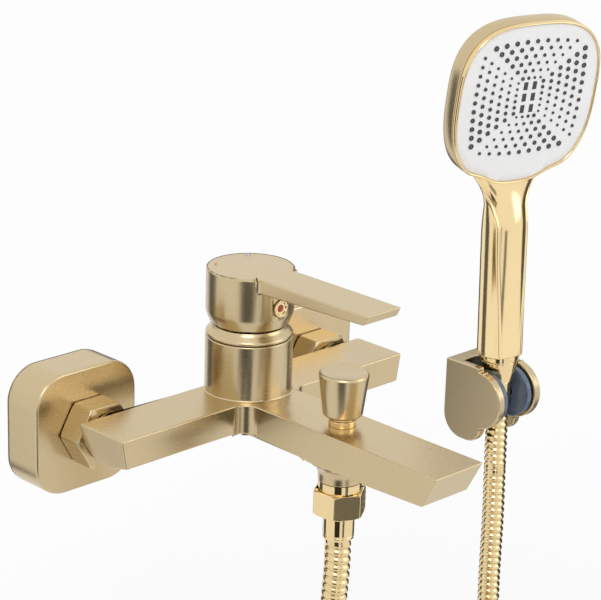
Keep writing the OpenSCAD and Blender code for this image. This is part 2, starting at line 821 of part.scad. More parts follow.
// A coil spring between the plunger and the gland, with a six-sided wire
module diverter_spring() {
    steps = 16;
    low = plunger_top + spring_wire_r + 0.05;
    high = gland_bottom - spring_wire_r - 0.05;
    count = spring_turns * steps;
    sides = 6;
    points = [for (i = [0 : count], k = [0 : sides - 1])
        let (a = i * 360 / steps, b = k * 360 / sides, r = spring_r + spring_wire_r * cos(b))
        [r * cos(a), r * sin(a), low + (high - low) * i / count + spring_wire_r * sin(b)]];
    skin = [for (i = [0 : count - 1], k = [0 : sides - 1])
        let (a = i * sides + k, b = i * sides + (k + 1) % sides) [a, b, b + sides, a + sides]];
    color("gray") translate([0, -diverter_y, 0]) polyhedron(points, concat(skin,
        [[for (k = [sides - 1 : -1 : 0]) k]], [[for (k = [0 : sides - 1]) count * sides + k]]));
}

module diverter_gland() {
    color("goldenrod") translate([0, -diverter_y, 0]) difference() {
        union() {
            z_rod(gland_plug_r, gland_bottom, bar_top + overcut);
            z_rod(gland_collar_d / 2, bar_top, gland_top);
        }
        z_rod(diverter_stem_r + shaft_gap, gland_bottom - overcut, gland_top + overcut);
    }
}

// ---- aerator and hose outlet ----

module aerator_housing() {
    color("silver") translate([0, -aerator_y, 0]) difference() {
        z_rod(aerator_r, spout_bottom - 0.4, aerator_top - 1.5);
        z_rod(aerator_r - aerator_wall, spout_bottom + 0.8, aerator_top);
        z_rod(aerator_r - aerator_wall - 1, spout_bottom - 1, spout_bottom + 1);
    }
}

module aerator_insert() {
    insert_r = aerator_r - aerator_wall - seat_gap;
    color("whitesmoke") translate([0, -aerator_y, 0]) difference() {
        z_rod(insert_r, spout_bottom + 0.9, aerator_top - 2);
        for (n = [0 : 2]) for (a = [0 : (n == 0 ? 360 : 60 / n) : 359])
            rotate([0, 0, a]) z_rod(0.9, spout_bottom - 1, aerator_top, n * 2.9);
    }
}

module hose_outlet_nipple() {
    color("gold") translate([0, -diverter_y, 0]) difference() {
        union() {
            z_rod(nipple_plug_r, outlet_boss_bottom - 1, chamber_floor);
            z_rod(outlet_thread_r, nipple_end, outlet_boss_bottom);
        }
        z_rod(nipple_bore_r, nipple_end - overcut, chamber_floor + overcut);
    }
}

module hose_washer() {
    color("dimgray") translate([0, -diverter_y, hose_washer_end])
        ring(9.6, nipple_bore_r, nipple_end - hose_washer_end);
}

module hose_nut() {
    color("gold") translate([0, -diverter_y, 0]) difference() {
        translate([0, 0, hose_nut_end]) hex_nut(hose_nut_flats, hose_nut_height, hose_nut_turn);
        z_rod(outlet_thread_r + seat_gap, hose_nut_end + hose_nut_lip, hose_nut_top + overcut);
        z_rod(ferrule_neck_r + free_gap, hose_nut_end - overcut, hose_nut_top);
    }
}

module hose_ferrule_lower() {
    color("gold") translate([0, -diverter_y, 0]) difference() {
        union() {
            z_rod(ferrule_flange_r, hose_nut_end + hose_nut_lip, hose_washer_end);
            z_rod(ferrule_neck_r, hose_nut_end - overcut, hose_washer_end);
            z_rod(ferrule_r, ferrule_end, hose_nut_end - 0.1);
        }
        z_rod(nipple_bore_r, hose_nut_end - 4, hose_washer_end + overcut);
    }
}

// ---- hose ----

module hose_drop() { color("khaki") tube(concat([[0, -diverter_y, ferrule_end]],
    [for (i = [1 : len(hose_drop_points) - 1]) hose_drop_points[i]]), hose_r); }

module hose_coil() {
    wound = coil_turns * coil_pitch;
    color("khaki") translate([coil_x, coil_start_y - hose_r, coil_z]) rotate([-90, 0, 0])
        rotate_extrude() translate([coil_r, 0]) {
            translate([0, hose_r]) circle(hose_r);
            translate([0, wound + hose_r]) circle(hose_r);
            translate([-hose_r, hose_r]) square([hose_d, wound]);
        }
}

// A strap round all the coil's turns, at its top
module hose_tie() {
    wound = coil_turns * coil_pitch;
    gap = 0.3;
    wall = 1.2;
    tie_width = 12;
    x = hose_r + gap;
    color("dimgray") translate([coil_x, 0, coil_z + coil_r]) difference() {
        block([-tie_width / 2, coil_start_y - x - wall, -x - wall - 1],
            [tie_width / 2, coil_start_y + wound + x + wall, x + wall]);
        block([-tie_width, coil_start_y - x, -x - 1],
            [tie_width, coil_start_y + wound + x, x]);
    }
}

module hose_rise() { color("khaki") tube(hose_rise_points, hose_r); }
module hose_top() { color("khaki") tube(hose_top_points, hose_r); }

module hose_ferrule_upper() {
    flange_top = handset_nipple_end - 1.2;
    color("gold") in_holder() difference() {
        union() {
            z_rod(handset_thread_r - 0.3, cone_nut_end + cone_nut_lip, flange_top);
            z_rod(ferrule_neck_r, cone_nut_end - overcut, flange_top);
            z_rod(upper_ferrule_r, upper_ferrule_end, cone_nut_end - free_gap);
        }
        z_rod(3, cone_nut_end - 4, flange_top + overcut);
    }
}

// ---- hand shower ----

module cone_nut() {
    color("gold") in_holder() difference() {
        translate([0, 0, cone_nut_end])
            cylinder(h = cone_nut_length, r1 = cone_nut_end_r, r2 = cone_nut_top_r);
        z_rod(handset_thread_r + seat_gap, cone_nut_end + cone_nut_lip,
            handle_bottom + overcut);
        z_rod(ferrule_neck_r + free_gap, cone_nut_end - overcut, handle_bottom);
    }
}

module handset_washer() {
    color("black") in_holder() translate([0, 0, handset_nipple_end - 1.2])
        ring(handset_thread_r - 0.3, core_bore_r, 1.2);
}

// The neck swells from the handle into the bottom of the head
module neck() {
    hull() {
        in_handset() z_rod(handle_r - 0.1, neck_start - 2, neck_start - 0.1, $fn = 32);
        in_head() translate([0, 0, -head_height / 2 + 6]) rotate([90, 0, 0])
            linear_extrude(head_thickness - 4) square([head_width * 0.4, 8], center = true);
    }
}

module handset_shell() {
    color("gold") difference() {
        union() {
            in_handset() z_rod(handle_r, handle_bottom, neck_start);
            neck();
            in_head() head_slab(head_width, head_height, 0, head_thickness - 3);
        }
        // the waterway core's bore, and the water chamber behind the spray plate
        in_handset() z_rod(core_r + seat_gap, handle_bottom - overcut, core_top + seat_gap);
        hull() {
            in_handset() z_rod(core_bore_r, core_top - 1, core_top + 4, $fn = 24);
            in_head() translate([-core_bore_r, -9, -head_height / 2 + 9])
                cube([2 * core_bore_r, 4, 4]);
        }
        in_head() head_slab(head_width - 9, head_height - 9, 4, head_thickness);
        in_head() head_slab(head_width, head_height, head_thickness - 3, head_thickness + 20);
    }
}

module handset_core() {
    color("white") in_holder() difference() {
        union() {
            z_rod(core_r, handle_bottom + 0.05, core_top);
            z_rod(handset_thread_r, handset_nipple_end, handle_bottom + 1);
        }
        z_rod(core_bore_r, handset_nipple_end - overcut, core_top + overcut);
    }
}

module spray_bezel() {
    color("gold") in_head() difference() {
        head_slab(head_width, head_height, head_thickness - 3, head_thickness);
        head_slab(head_width - 2 * rim_width, head_height - 2 * rim_width,
            head_thickness - 5, head_thickness + 1);
    }
}

module spray_plate() {
    inset = 2 * (rim_width + plate_gap);
    color("white") in_head() head_slab(head_width - inset, head_height - inset,
        head_thickness - 3, head_thickness - 3 + spray_plate_thickness);
}

// One round nozzle at a place on the head's face
module nozzle(x, z, r) {
    front = head_thickness - 3 + spray_plate_thickness;
    translate([x, -front, z]) rotate([90, 0, 0]) cylinder(h = nozzle_height, r = r);
}

// Four fans of nozzles: each has rows that grow shorter and closer towards the middle, and
// the far half is the near half turned by 180 degrees
module nozzles() {
    color("dimgray") in_head() translate([0, 0, head_up]) for (half = [0, 180])
        rotate([0, half, 0]) for (row = [0 : 5]) {
            fan(9 - row, 26.6 - 4.15 * row, 33 - 4.3 * row, 0);
            fan(11 - row, 26 - 3.4 * row, 35 - 5.3 * row, 90);
        }
}

// One row of nozzles, from the largest to the smallest, bowed away from the middle
module fan(count, half_length, reach, turn) {
    rotate([0, turn, 0]) for (i = [0 : count - 1]) {
        share = 2 * i / (count - 1) - 1;
        r = (nozzle_r_large + nozzle_r_small) / 2 - (nozzle_r_large - nozzle_r_small) / 2 * share;
        nozzle(share * half_length, reach - fan_bow * pow(share * half_length, 2), r);
    }
}

module slot_nozzles() {
    front = head_thickness - 3 + spray_plate_thickness;
    color("black") in_head() for (x = [-2.9, 2.9], z = [-6.8, 0, 6.8])
        translate([x, 0, head_up + z])
            block([-1.4, -front - nozzle_height, -2.4], [1.4, -front, 2.4]);
}

// ---- bracket ----

module at_pivot() {
    translate([bracket_x, -pivot_depth, pivot_z]) children();
}

module bracket_plate() {
    color("silver") translate([bracket_x, 0, pivot_z]) difference() {
        block([-plate_width / 2, -plate_thickness, -plate_height / 2],
            [plate_width / 2, 0, plate_height / 2]);
        for (s = [-1, 1]) y_rod(screw_hole_r, -overcut, plate_thickness + overcut, 0,
            s * screw_spacing / 2);
    }
}

// The side outline of a cheek: flat top, big round at the foot and a round nose at the pivot
module cheek_outline() {
    foot_r = 14;
    toe_r = 10;
    translate([0, -bracket_drop + foot_r]) square([foot_r, bracket_top + bracket_drop - foot_r]);
    translate([foot_r, -bracket_drop + foot_r]) circle(foot_r);
    translate([foot_r, -bracket_drop]) square([4, bracket_top + bracket_drop]);
    translate([foot_r + 4, -bracket_drop + toe_r]) circle(toe_r);
    translate([foot_r, -bracket_drop + toe_r])
        square([toe_r + 4, bracket_drop - toe_r + cheek_r]);
    translate([foot_r, 0]) square([pivot_depth - foot_r, bracket_top]);
    translate([pivot_depth, 0]) circle(cheek_r);
}

module bracket_body() {
    color("tan") difference() {
        translate([bracket_x, 0, pivot_z]) side_extrude(bracket_width) cheek_outline();
        translate([bracket_x, 0, pivot_z]) {
            block([-cheek_inner, -pivot_depth - 30, -40], [cheek_inner, -web_front, 40]);
            block([-plate_width / 2 - 0.2, -web_back, -plate_height / 2 - 0.2],
                [plate_width / 2 + 0.2, overcut, plate_height / 2 + 0.2]);
        }
        at_pivot() x_rod(holder_pin_r + seat_gap, -holder_pin_outer - 0.1,
            holder_pin_outer + 0.1, 0, 0);
    }
}

module holder() {
    seat = 0.15;
    color("slategray") difference() {
        at_pivot() x_rod(drum_r, -drum_half, drum_half, 0, 0);
        in_holder() {
            z_rod(drum_bore_r, -drum_r - 5, cone_nut_end + 1);
            translate([0, 0, cone_nut_end]) cylinder(h = cone_nut_length,
                r1 = cone_nut_end_r + seat, r2 = cone_nut_top_r + seat);
            block([-holder_slot_half, -drum_r - 5, -drum_r - 5],
                [holder_slot_half, 0, drum_r + 5]);
        }
        at_pivot() x_rod(holder_pin_r + shaft_gap, -drum_half - 1, drum_half + 1, 0, 0);
    }
}

module holder_pins() {
    color("silver") at_pivot() for (s = [-1, 1])
        x_rod(holder_pin_r, s > 0 ? holder_pin_inner : -holder_pin_outer,
            s > 0 ? holder_pin_outer : -holder_pin_inner, 0, 0);
}

module holder_washers() {
    color("black") at_pivot() for (s = [-1, 1])
        translate([s > 0 ? drum_half + 0.1 : -cheek_inner, 0, 0]) rotate([0, 90, 0])
            ring(8, holder_pin_r + seat_gap, cheek_inner - drum_half - 0.1);
}

body();
escutcheon_left();
escutcheon_right();
eccentric_left();
eccentric_right();
union_nut_left();
union_nut_right();
union_tail_left();
union_tail_right();
inlet_washers();
check_valves();
cartridge_base();
cartridge_seals();
cartridge_shell();
fixed_disc();
moving_disc();
cartridge_carrier();
stem_pin();
cartridge_stem();
cartridge_nut();
dome_cover();
lever_handle();
handle_set_screw();
handle_plug();
plug_index();
hot_mark();
cold_mark();
diverter_knob();
diverter_stem();
diverter_plunger();
diverter_spring();
diverter_gland();
aerator_housing();
aerator_insert();
hose_outlet_nipple();
hose_washer();
hose_nut();
hose_ferrule_lower();
hose_drop();
hose_coil();
hose_tie();
hose_rise();
hose_top();
hose_ferrule_upper();
cone_nut();
handset_washer();
handset_shell();
handset_core();
spray_bezel();
spray_plate();
nozzles();
slot_nozzles();
bracket_plate();
bracket_body();
holder();
holder_pins();
holder_washers();
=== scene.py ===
"""Wall mounted bath faucet with a hose, a wall bracket and a hand shower.

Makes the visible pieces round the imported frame, their finishes and the stage.
"""
import json
import math

import bmesh
import bpy
import numpy as np
from bpy.props import FloatProperty, FloatVectorProperty, PointerProperty
from mathutils import Matrix, Vector


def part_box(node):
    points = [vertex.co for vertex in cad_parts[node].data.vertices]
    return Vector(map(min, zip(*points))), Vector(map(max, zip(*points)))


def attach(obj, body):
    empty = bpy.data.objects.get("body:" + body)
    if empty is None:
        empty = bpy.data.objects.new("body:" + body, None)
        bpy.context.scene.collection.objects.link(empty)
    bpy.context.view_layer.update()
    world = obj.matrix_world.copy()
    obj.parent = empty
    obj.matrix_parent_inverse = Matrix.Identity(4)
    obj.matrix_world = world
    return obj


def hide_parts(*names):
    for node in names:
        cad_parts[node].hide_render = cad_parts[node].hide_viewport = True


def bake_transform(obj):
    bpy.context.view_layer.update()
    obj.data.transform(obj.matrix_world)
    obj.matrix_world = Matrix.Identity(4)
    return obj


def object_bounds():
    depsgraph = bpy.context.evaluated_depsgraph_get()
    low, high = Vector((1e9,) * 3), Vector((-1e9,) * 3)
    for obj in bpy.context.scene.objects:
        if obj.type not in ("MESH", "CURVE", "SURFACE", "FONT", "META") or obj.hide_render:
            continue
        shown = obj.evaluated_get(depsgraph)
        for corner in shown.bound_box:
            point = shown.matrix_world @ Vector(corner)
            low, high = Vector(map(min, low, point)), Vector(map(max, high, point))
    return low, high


bl_info = {
    "name": "Wall Bath Faucet",
    "version": (1, 0, 0),
    "blender": (4, 5, 0),
    "location": "View3D > Sidebar > Faucet",
    "description": "Builds the visible pieces of a wall mounted bath faucet with a hand shower",
    "category": "Add Mesh",
}

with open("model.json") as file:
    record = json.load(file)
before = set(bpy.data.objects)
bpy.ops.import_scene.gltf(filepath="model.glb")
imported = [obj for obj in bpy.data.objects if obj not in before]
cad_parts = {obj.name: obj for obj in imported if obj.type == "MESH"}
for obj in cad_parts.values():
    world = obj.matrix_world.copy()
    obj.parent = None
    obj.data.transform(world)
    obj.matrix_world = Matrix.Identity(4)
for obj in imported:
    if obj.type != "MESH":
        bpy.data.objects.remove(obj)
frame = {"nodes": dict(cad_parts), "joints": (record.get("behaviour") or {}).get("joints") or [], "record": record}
CAD_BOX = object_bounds()

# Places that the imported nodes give, in metres
COLLAR_HEIGHT = 0.0044
SPOUT_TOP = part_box("diverter_gland")[1].z - COLLAR_HEIGHT
NUT_LOW, NUT_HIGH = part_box("hose_nut")
NUT_AXIS = (NUT_LOW + NUT_HIGH) / 2
KNOB_LOW, KNOB_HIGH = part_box("diverter_knob")
KNOB_AXIS = (KNOB_LOW + KNOB_HIGH) / 2
LOWER_FERRULE_LOW, LOWER_FERRULE_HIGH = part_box("hose_ferrule_lower")
HOLDER_JOINT = next(j for j in frame["joints"] if j["name"] == "holder_tilt")
PIVOT = Vector(HOLDER_JOINT["pos_m"])
LIFT_JOINT = next(j for j in frame["joints"] if j["name"] == "handset_lift")
HANDLE_AXIS = Vector(LIFT_JOINT["axis"]).normalized()
HANDLE_LEAN = math.atan2(-HANDLE_AXIS.y, HANDLE_AXIS.z)
CARTRIDGE_LOW, CARTRIDGE_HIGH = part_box("cartridge_nut")
HOUSING_AXIS = Vector((0, (CARTRIDGE_LOW.y + CARTRIDGE_HIGH.y) / 2, 0))

# How far the upper ferrule and the cone nut sit above the holder's pivot, along the handle
NUT_RAISE = 0.003

# Route of the hose: from the mixer down to the coil, and from the coil up to the hand shower
DROP_POINTS = np.array([
    (0, -0.120, -0.0458), (0, -0.120, -0.060), (0, -0.119, -0.076), (0.002, -0.116, -0.094),
    (0.007, -0.111, -0.114), (0.017, -0.104, -0.136), (0.031, -0.095, -0.158),
    (0.048, -0.086, -0.180), (0.065, -0.078, -0.200), (0.080, -0.072, -0.221),
    (0.090, -0.068, -0.242), (0.094, -0.066, -0.262), (0.095, -0.066, -0.275)])
RISE_POINTS = np.array([
    (0.225, -0.031, -0.275), (0.225, -0.031, -0.258), (0.226, -0.0305, -0.238),
    (0.227, -0.029, -0.216), (0.228, -0.0276, -0.194), (0.228, -0.027, -0.172),
    (0.228, -0.027, -0.152), (0.228, -0.027, -0.132), (0.228, -0.0265, -0.114),
    (0.228, -0.0262, -0.102)])
TOP_POINTS = np.array([
    (0.228, -0.0262, -0.102), (0.228, -0.0259, -0.090), (0.228, -0.0255, -0.074),
    (0.228, -0.0251, -0.0602)])
COIL_CENTRE = np.array((0.160, -0.066, -0.275))
COIL_RADIUS = 0.065
COIL_TURNS = 2.5
COIL_WIDTH = 0.035

# Rings of points that the hose has in one turn of its strip
RINGS_PER_TURN = 7

# Edges that are sharper than this are rounded on the machined pieces
EDGE_ANGLE = math.radians(32)


class FaucetSizes(bpy.types.PropertyGroup):
    """Sizes of the visible detail."""

    edge: FloatProperty(
        name="Edge", description="Radius of the small rounds on the body's edges",
        default=0.0008, min=0.0001, unit="LENGTH")
    plate_edge: FloatProperty(
        name="Plate edge", description="Radius of the rounds on the wall plates",
        default=0.0014, min=0.0001, unit="LENGTH")
    crisp_edge: FloatProperty(
        name="Crisp edge", description="Radius of the rounds on nuts and small pieces",
        default=0.0003, min=0.0001, unit="LENGTH")
    hose_diameter: FloatProperty(
        name="Hose diameter", description="Outer diameter of the hose",
        default=0.013, min=0.010, unit="LENGTH")
    hose_pitch: FloatProperty(
        name="Hose pitch", description="Distance between two turns of the hose's strip",
        default=0.0040, min=0.002, unit="LENGTH")
    hose_groove: FloatProperty(
        name="Hose groove", description="Depth of the groove between two turns of the strip",
        default=0.0010, min=0.0001, unit="LENGTH")
    head_width: FloatProperty(
        name="Head width", description="Width of the hand shower's head",
        default=0.092, min=0.08, unit="LENGTH")
    head_height: FloatProperty(
        name="Head height", description="Height of the hand shower's head",
        default=0.096, min=0.086, unit="LENGTH")
    head_thickness: FloatProperty(
        name="Head thickness", description="Thickness of the hand shower's head",
        default=0.016, min=0.01, unit="LENGTH")
    head_rim: FloatProperty(
        name="Head rim", description="Width of the polished rim round the spray plate",
        default=0.0016, min=0.001, unit="LENGTH")


class FaucetFinish(bpy.types.PropertyGroup):
    """Colours and gloss of the finishes."""

    satin: FloatVectorProperty(
        name="Satin gold", description="Colour of the satin gold body",
        subtype="COLOR", size=3, default=(0.61, 0.49, 0.295), min=0, max=1)
    satin_roughness: FloatProperty(
        name="Satin roughness", description="How matt the satin gold is",
        default=0.27, min=0, max=1, subtype="FACTOR")
    polished: FloatVectorProperty(
        name="Polished gold", description="Colour of the polished gold",
        subtype="COLOR", size=3, default=(0.82, 0.64, 0.35), min=0, max=1)
    polished_roughness: FloatProperty(
        name="Polished roughness", description="How matt the polished gold is",
        default=0.07, min=0, max=1, subtype="FACTOR")
    spray_white: FloatVectorProperty(
        name="Spray plate", description="Colour of the spray plate",
        subtype="COLOR", size=3, default=(0.93, 0.93, 0.93), min=0, max=1)
    nozzle: FloatVectorProperty(
        name="Nozzles", description="Colour of the nozzles' rims",
        subtype="COLOR", size=3, default=(0.045, 0.045, 0.047), min=0, max=1)
    holder: FloatVectorProperty(
        name="Holder", description="Colour of the holder's drum",
        subtype="COLOR", size=3, default=(0.10, 0.14, 0.21), min=0, max=1)
    hot: FloatVectorProperty(
        name="Hot mark", description="Colour of the hot mark",
        subtype="COLOR", size=3, default=(0.55, 0.05, 0.03), min=0, max=1)
    cold: FloatVectorProperty(
        name="Cold mark", description="Colour of the cold mark",
        subtype="COLOR", size=3, default=(0.08, 0.22, 0.60), min=0, max=1)


class FaucetStage(bpy.types.PropertyGroup):
    """Camera, floor and light."""

    azimuth: FloatProperty(
        name="Azimuth", description="Direction that the camera stands in",
        default=math.radians(-44.984), subtype="ANGLE")
    elevation: FloatProperty(
        name="Elevation", description="Height of the camera above the horizon",
        default=math.radians(18.595), subtype="ANGLE")
    roll: FloatProperty(
        name="Roll", description="Turn of the camera about its own axis",
        default=math.radians(1.761), subtype="ANGLE")
    place: FloatVectorProperty(
        name="Place", description="Place of the camera",
        subtype="TRANSLATION", size=3, default=(-0.710135, -0.800135, 0.403944))
    lens: FloatProperty(
        name="Lens", description="Focal length in millimetres on a 36 mm sensor",
        default=134.24, min=20)
    world_light: FloatProperty(
        name="World light", description="Strength of the light from all round",
        default=1.0, min=0)
    key_light: FloatProperty(
        name="Key light", description="Power of the soft lamp on the left",
        default=15.0, min=0)


# ---- curves and surfaces ----

def spline(points, spacing):
    """A cubic curve through the points, its slopes taken by chord length, at an even spacing."""
    chord = np.r_[0, np.cumsum(np.linalg.norm(np.diff(points, axis=0), axis=1))]
    slope = np.gradient(points, chord, axis=0)
    dense = np.linspace(0, chord[-1], 40 * len(points))
    k = np.clip(np.searchsorted(chord, dense, side="right") - 1, 0, len(points) - 2)
    span = (chord[k + 1] - chord[k])[:, None]
    t = (dense[:, None] - chord[k][:, None]) / span
    curve = ((2 * t**3 - 3 * t**2 + 1) * points[k] + (t**3 - 2 * t**2 + t) * span * slope[k]
             + (-2 * t**3 + 3 * t**2) * points[k + 1] + (t**3 - t**2) * span * slope[k + 1])
    return resample(curve, spacing)


def resample(curve, spacing):
    """The same line with its points an even distance apart."""
    along = np.r_[0, np.cumsum(np.linalg.norm(np.diff(curve, axis=0), axis=1))]
    count = max(2, int(round(along[-1] / spacing)) + 1)
    even = np.linspace(0, along[-1], count)
    return np.stack([np.interp(even, along, curve[:, k]) for k in range(3)], axis=1)


def smooth(t):
    """Eases from 0 to 1."""
    t = np.clip(t, 0, 1)
    return t * t * (3 - 2 * t)


def grid_faces(rows, columns, closed_rows=False):
    """Quads between neighbouring rows of points, where each row is a closed ring."""
    i = np.arange(rows if closed_rows else rows - 1)[:, None]
    j = np.arange(columns)[None, :]
    k, n = (i + 1) % rows, (j + 1) % columns
    corners = [i * columns + j, i * columns + n, k * columns + n, k * columns + j]
    return np.stack(corners, axis=-1).reshape(-1, 4)


def add_mesh(name, vertices, faces, sharp=35):
    """A mesh object at the origin, closed at its poles and smooth up to an angle.

    Doubles are merged and the faces are turned outwards.
    """
    mesh = bpy.data.meshes.new(name)
    corners = faces.tolist() if isinstance(faces, np.ndarray) else faces
    mesh.from_pydata(np.asarray(vertices, float).reshape(-1, 3).tolist(), [], corners)
    work = bmesh.new()
    work.from_mesh(mesh)
    bmesh.ops.remove_doubles(work, verts=work.verts, dist=1e-6)
    bmesh.ops.dissolve_degenerate(work, edges=work.edges, dist=1e-7)
    bmesh.ops.recalc_face_normals(work, faces=work.faces)
    work.to_mesh(mesh)
    work.free()
    mesh.shade_smooth()
    mesh.set_sharp_from_angle(angle=math.radians(sharp))
    piece = bpy.data.objects.new(name, mesh)
    bpy.context.scene.collection.objects.link(piece)
    return piece


def rounded(outline, radius, steps=4):
    """An open outline of (r, h) corners, each inner corner replaced by a small arc of the radius."""
    points = [np.array(p, float) for p in outline]
    made = [points[0]]
    for before, corner, after in zip(points, points[1:], points[2:]):
        a, b = before - corner, after - corner
        reach = min(radius, 0.45 * np.linalg.norm(a), 0.45 * np.linalg.norm(b))
        a, b = a / np.linalg.norm(a) * reach, b / np.linalg.norm(b) * reach
        t = np.linspace(0, 1, steps + 1)[:, None]
        made.extend((1 - t)**2 * (corner + a) + 2 * t * (1 - t) * corner + t**2 * (corner + b))
    made.append(points[-1])
    return np.array(made)


def turned(profile, base, axis=(0, 0, 1), steps=72):
    """A profile of (r, h) turned round an axis through base.

    A point is base + h * axis + r * (cos a * side + sin a * top).
    """
    up = np.array(Vector(axis).normalized())
    side = np.cross(up, (0.0, 1.0, 0.0) if abs(up[1]) < 0.9 else (1.0, 0.0, 0.0))
    side /= np.linalg.norm(side)
    top = np.cross(up, side)
    angle = np.linspace(0, 2 * math.pi, steps, endpoint=False)
    around = np.cos(angle)[:, None] * side + np.sin(angle)[:, None] * top
    r, h = np.asarray(profile, float).T
    points = np.array(base, float) + h[:, None, None] * up + r[:, None, None] * around[None]
    return points, grid_faces(len(r), steps)


def finish_piece(piece, body, slot, material, *nodes):
    """Gives a new piece its material, the body it rides on and the nodes that it stands for."""
    piece.data.materials.clear()
    piece.data.materials.append(material)
    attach(piece, body)
    if nodes:
        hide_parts(*nodes)
    return piece


def machined(node, name, edge, segments=3):
    """A copy of a node: doubles merged, flat faces joined, and its sharp edges rounded by a bevel."""
    mesh = frame["nodes"][node].data.copy()
    mesh.name = name
    work = bmesh.new()
    work.from_mesh(mesh)
    bmesh.ops.remove_doubles(work, verts=work.verts, dist=2e-6)
    bmesh.ops.dissolve_limit(
        work, angle_limit=math.radians(0.6), verts=work.verts, edges=work.edges)
    work.to_mesh(mesh)
    work.free()
    mesh.shade_smooth()
    mesh.set_sharp_from_angle(angle=EDGE_ANGLE)
    piece = bpy.data.objects.new(name, mesh)
    bpy.context.scene.collection.objects.link(piece)
    bevel = piece.modifiers.new("Edges", "BEVEL")
    bevel.width = edge
    bevel.segments = segments
    bevel.limit_method = "ANGLE"
    bevel.angle_limit = EDGE_ANGLE
    bevel.use_clamp_overlap = False
    bevel.harden_normals = True
    bevel.miter_outer = "MITER_ARC"
    return piece


# ---- finishes ----

def node_material(name):
    """A new material with its node tree, its surface shader and its Object coordinates."""
    material = bpy.data.materials.new(name)
    material.use_nodes = True
    tree = material.node_tree
    shader = tree.nodes["Principled BSDF"]
    place = tree.nodes.new("ShaderNodeTexCoord")
    return material, tree, shader, place.outputs["Object"]


def noise(tree, place, scale, stretch=(1, 1, 1), detail=3.0):
    """A noise texture on Object coordinates, stretched along the axes."""
    mapping = tree.nodes.new("ShaderNodeMapping")
    mapping.inputs["Scale"].default_value = stretch
    texture = tree.nodes.new("ShaderNodeTexNoise")
    texture.inputs["Scale"].default_value = scale
    texture.inputs["Detail"].default_value = detail
    tree.links.new(place, mapping.inputs["Vector"])
    tree.links.new(mapping.outputs["Vector"], texture.inputs["Vector"])
    return texture.outputs["Fac"]


def ramp(tree, value, low, high, start=0.3, end=0.7):
    """Turns a value into a colour between two colours."""
    node = tree.nodes.new("ShaderNodeValToRGB")
    node.color_ramp.elements[0].position = start
    node.color_ramp.elements[1].position = end
    node.color_ramp.elements[0].color = (*low, 1)
    node.color_ramp.elements[1].color = (*high, 1)
    tree.links.new(value, node.inputs["Fac"])
    return node.outputs["Color"]


def spread(tree, value, low, high):
    """Maps a value from 0..1 to low..high."""
    node = tree.nodes.new("ShaderNodeMapRange")
    node.inputs["To Min"].default_value = low
    node.inputs["To Max"].default_value = high
    tree.links.new(value, node.inputs["Value"])
    return node.outputs["Result"]


def bump(tree, shader, height, strength, distance):
    """Raises the surface by a height texture."""
    node = tree.nodes.new("ShaderNodeBump")
    node.inputs["Strength"].default_value = strength
    node.inputs["Distance"].default_value = distance
    tree.links.new(height, node.inputs["Height"])
    tree.links.new(node.outputs["Normal"], shader.inputs["Normal"])


def shade(colour, factor):
    """A colour made darker or lighter."""
    return tuple(min(1.0, c * factor) for c in colour)


def metal(name, colour, roughness, variation, scale, grain=(1, 1, 1)):
    """Metal with a slightly uneven colour and a gloss that a fine grain makes uneven."""
    material, tree, shader, place = node_material(name)
    shader.inputs["Metallic"].default_value = 1.0
    clouds = noise(tree, place, scale, detail=4)
    colours = ramp(tree, clouds, shade(colour, 1 - variation), shade(colour, 1 + variation))
    tree.links.new(colours, shader.inputs["Base Color"])
    streaks = noise(tree, place, scale * 12, grain, detail=5)
    gloss = spread(tree, streaks, roughness * 0.96, roughness * 1.04)
    tree.links.new(gloss, shader.inputs["Roughness"])
    return material


def plastic(name, colour, roughness, variation=0.03, scale=90, skin_height=0.00002):
    """Moulded plastic or rubber with a fine skin."""
    material, tree, shader, place = node_material(name)
    clouds = noise(tree, place, scale)
    colours = ramp(tree, clouds, shade(colour, 1 - variation), shade(colour, 1 + variation))
    tree.links.new(colours, shader.inputs["Base Color"])
    skin = noise(tree, place, scale * 25, detail=2)
    gloss = spread(tree, skin, roughness * 0.9, roughness * 1.1)
    tree.links.new(gloss, shader.inputs["Roughness"])
    bump(tree, shader, skin, 0.3, skin_height)
    return material


MATERIALS = {}


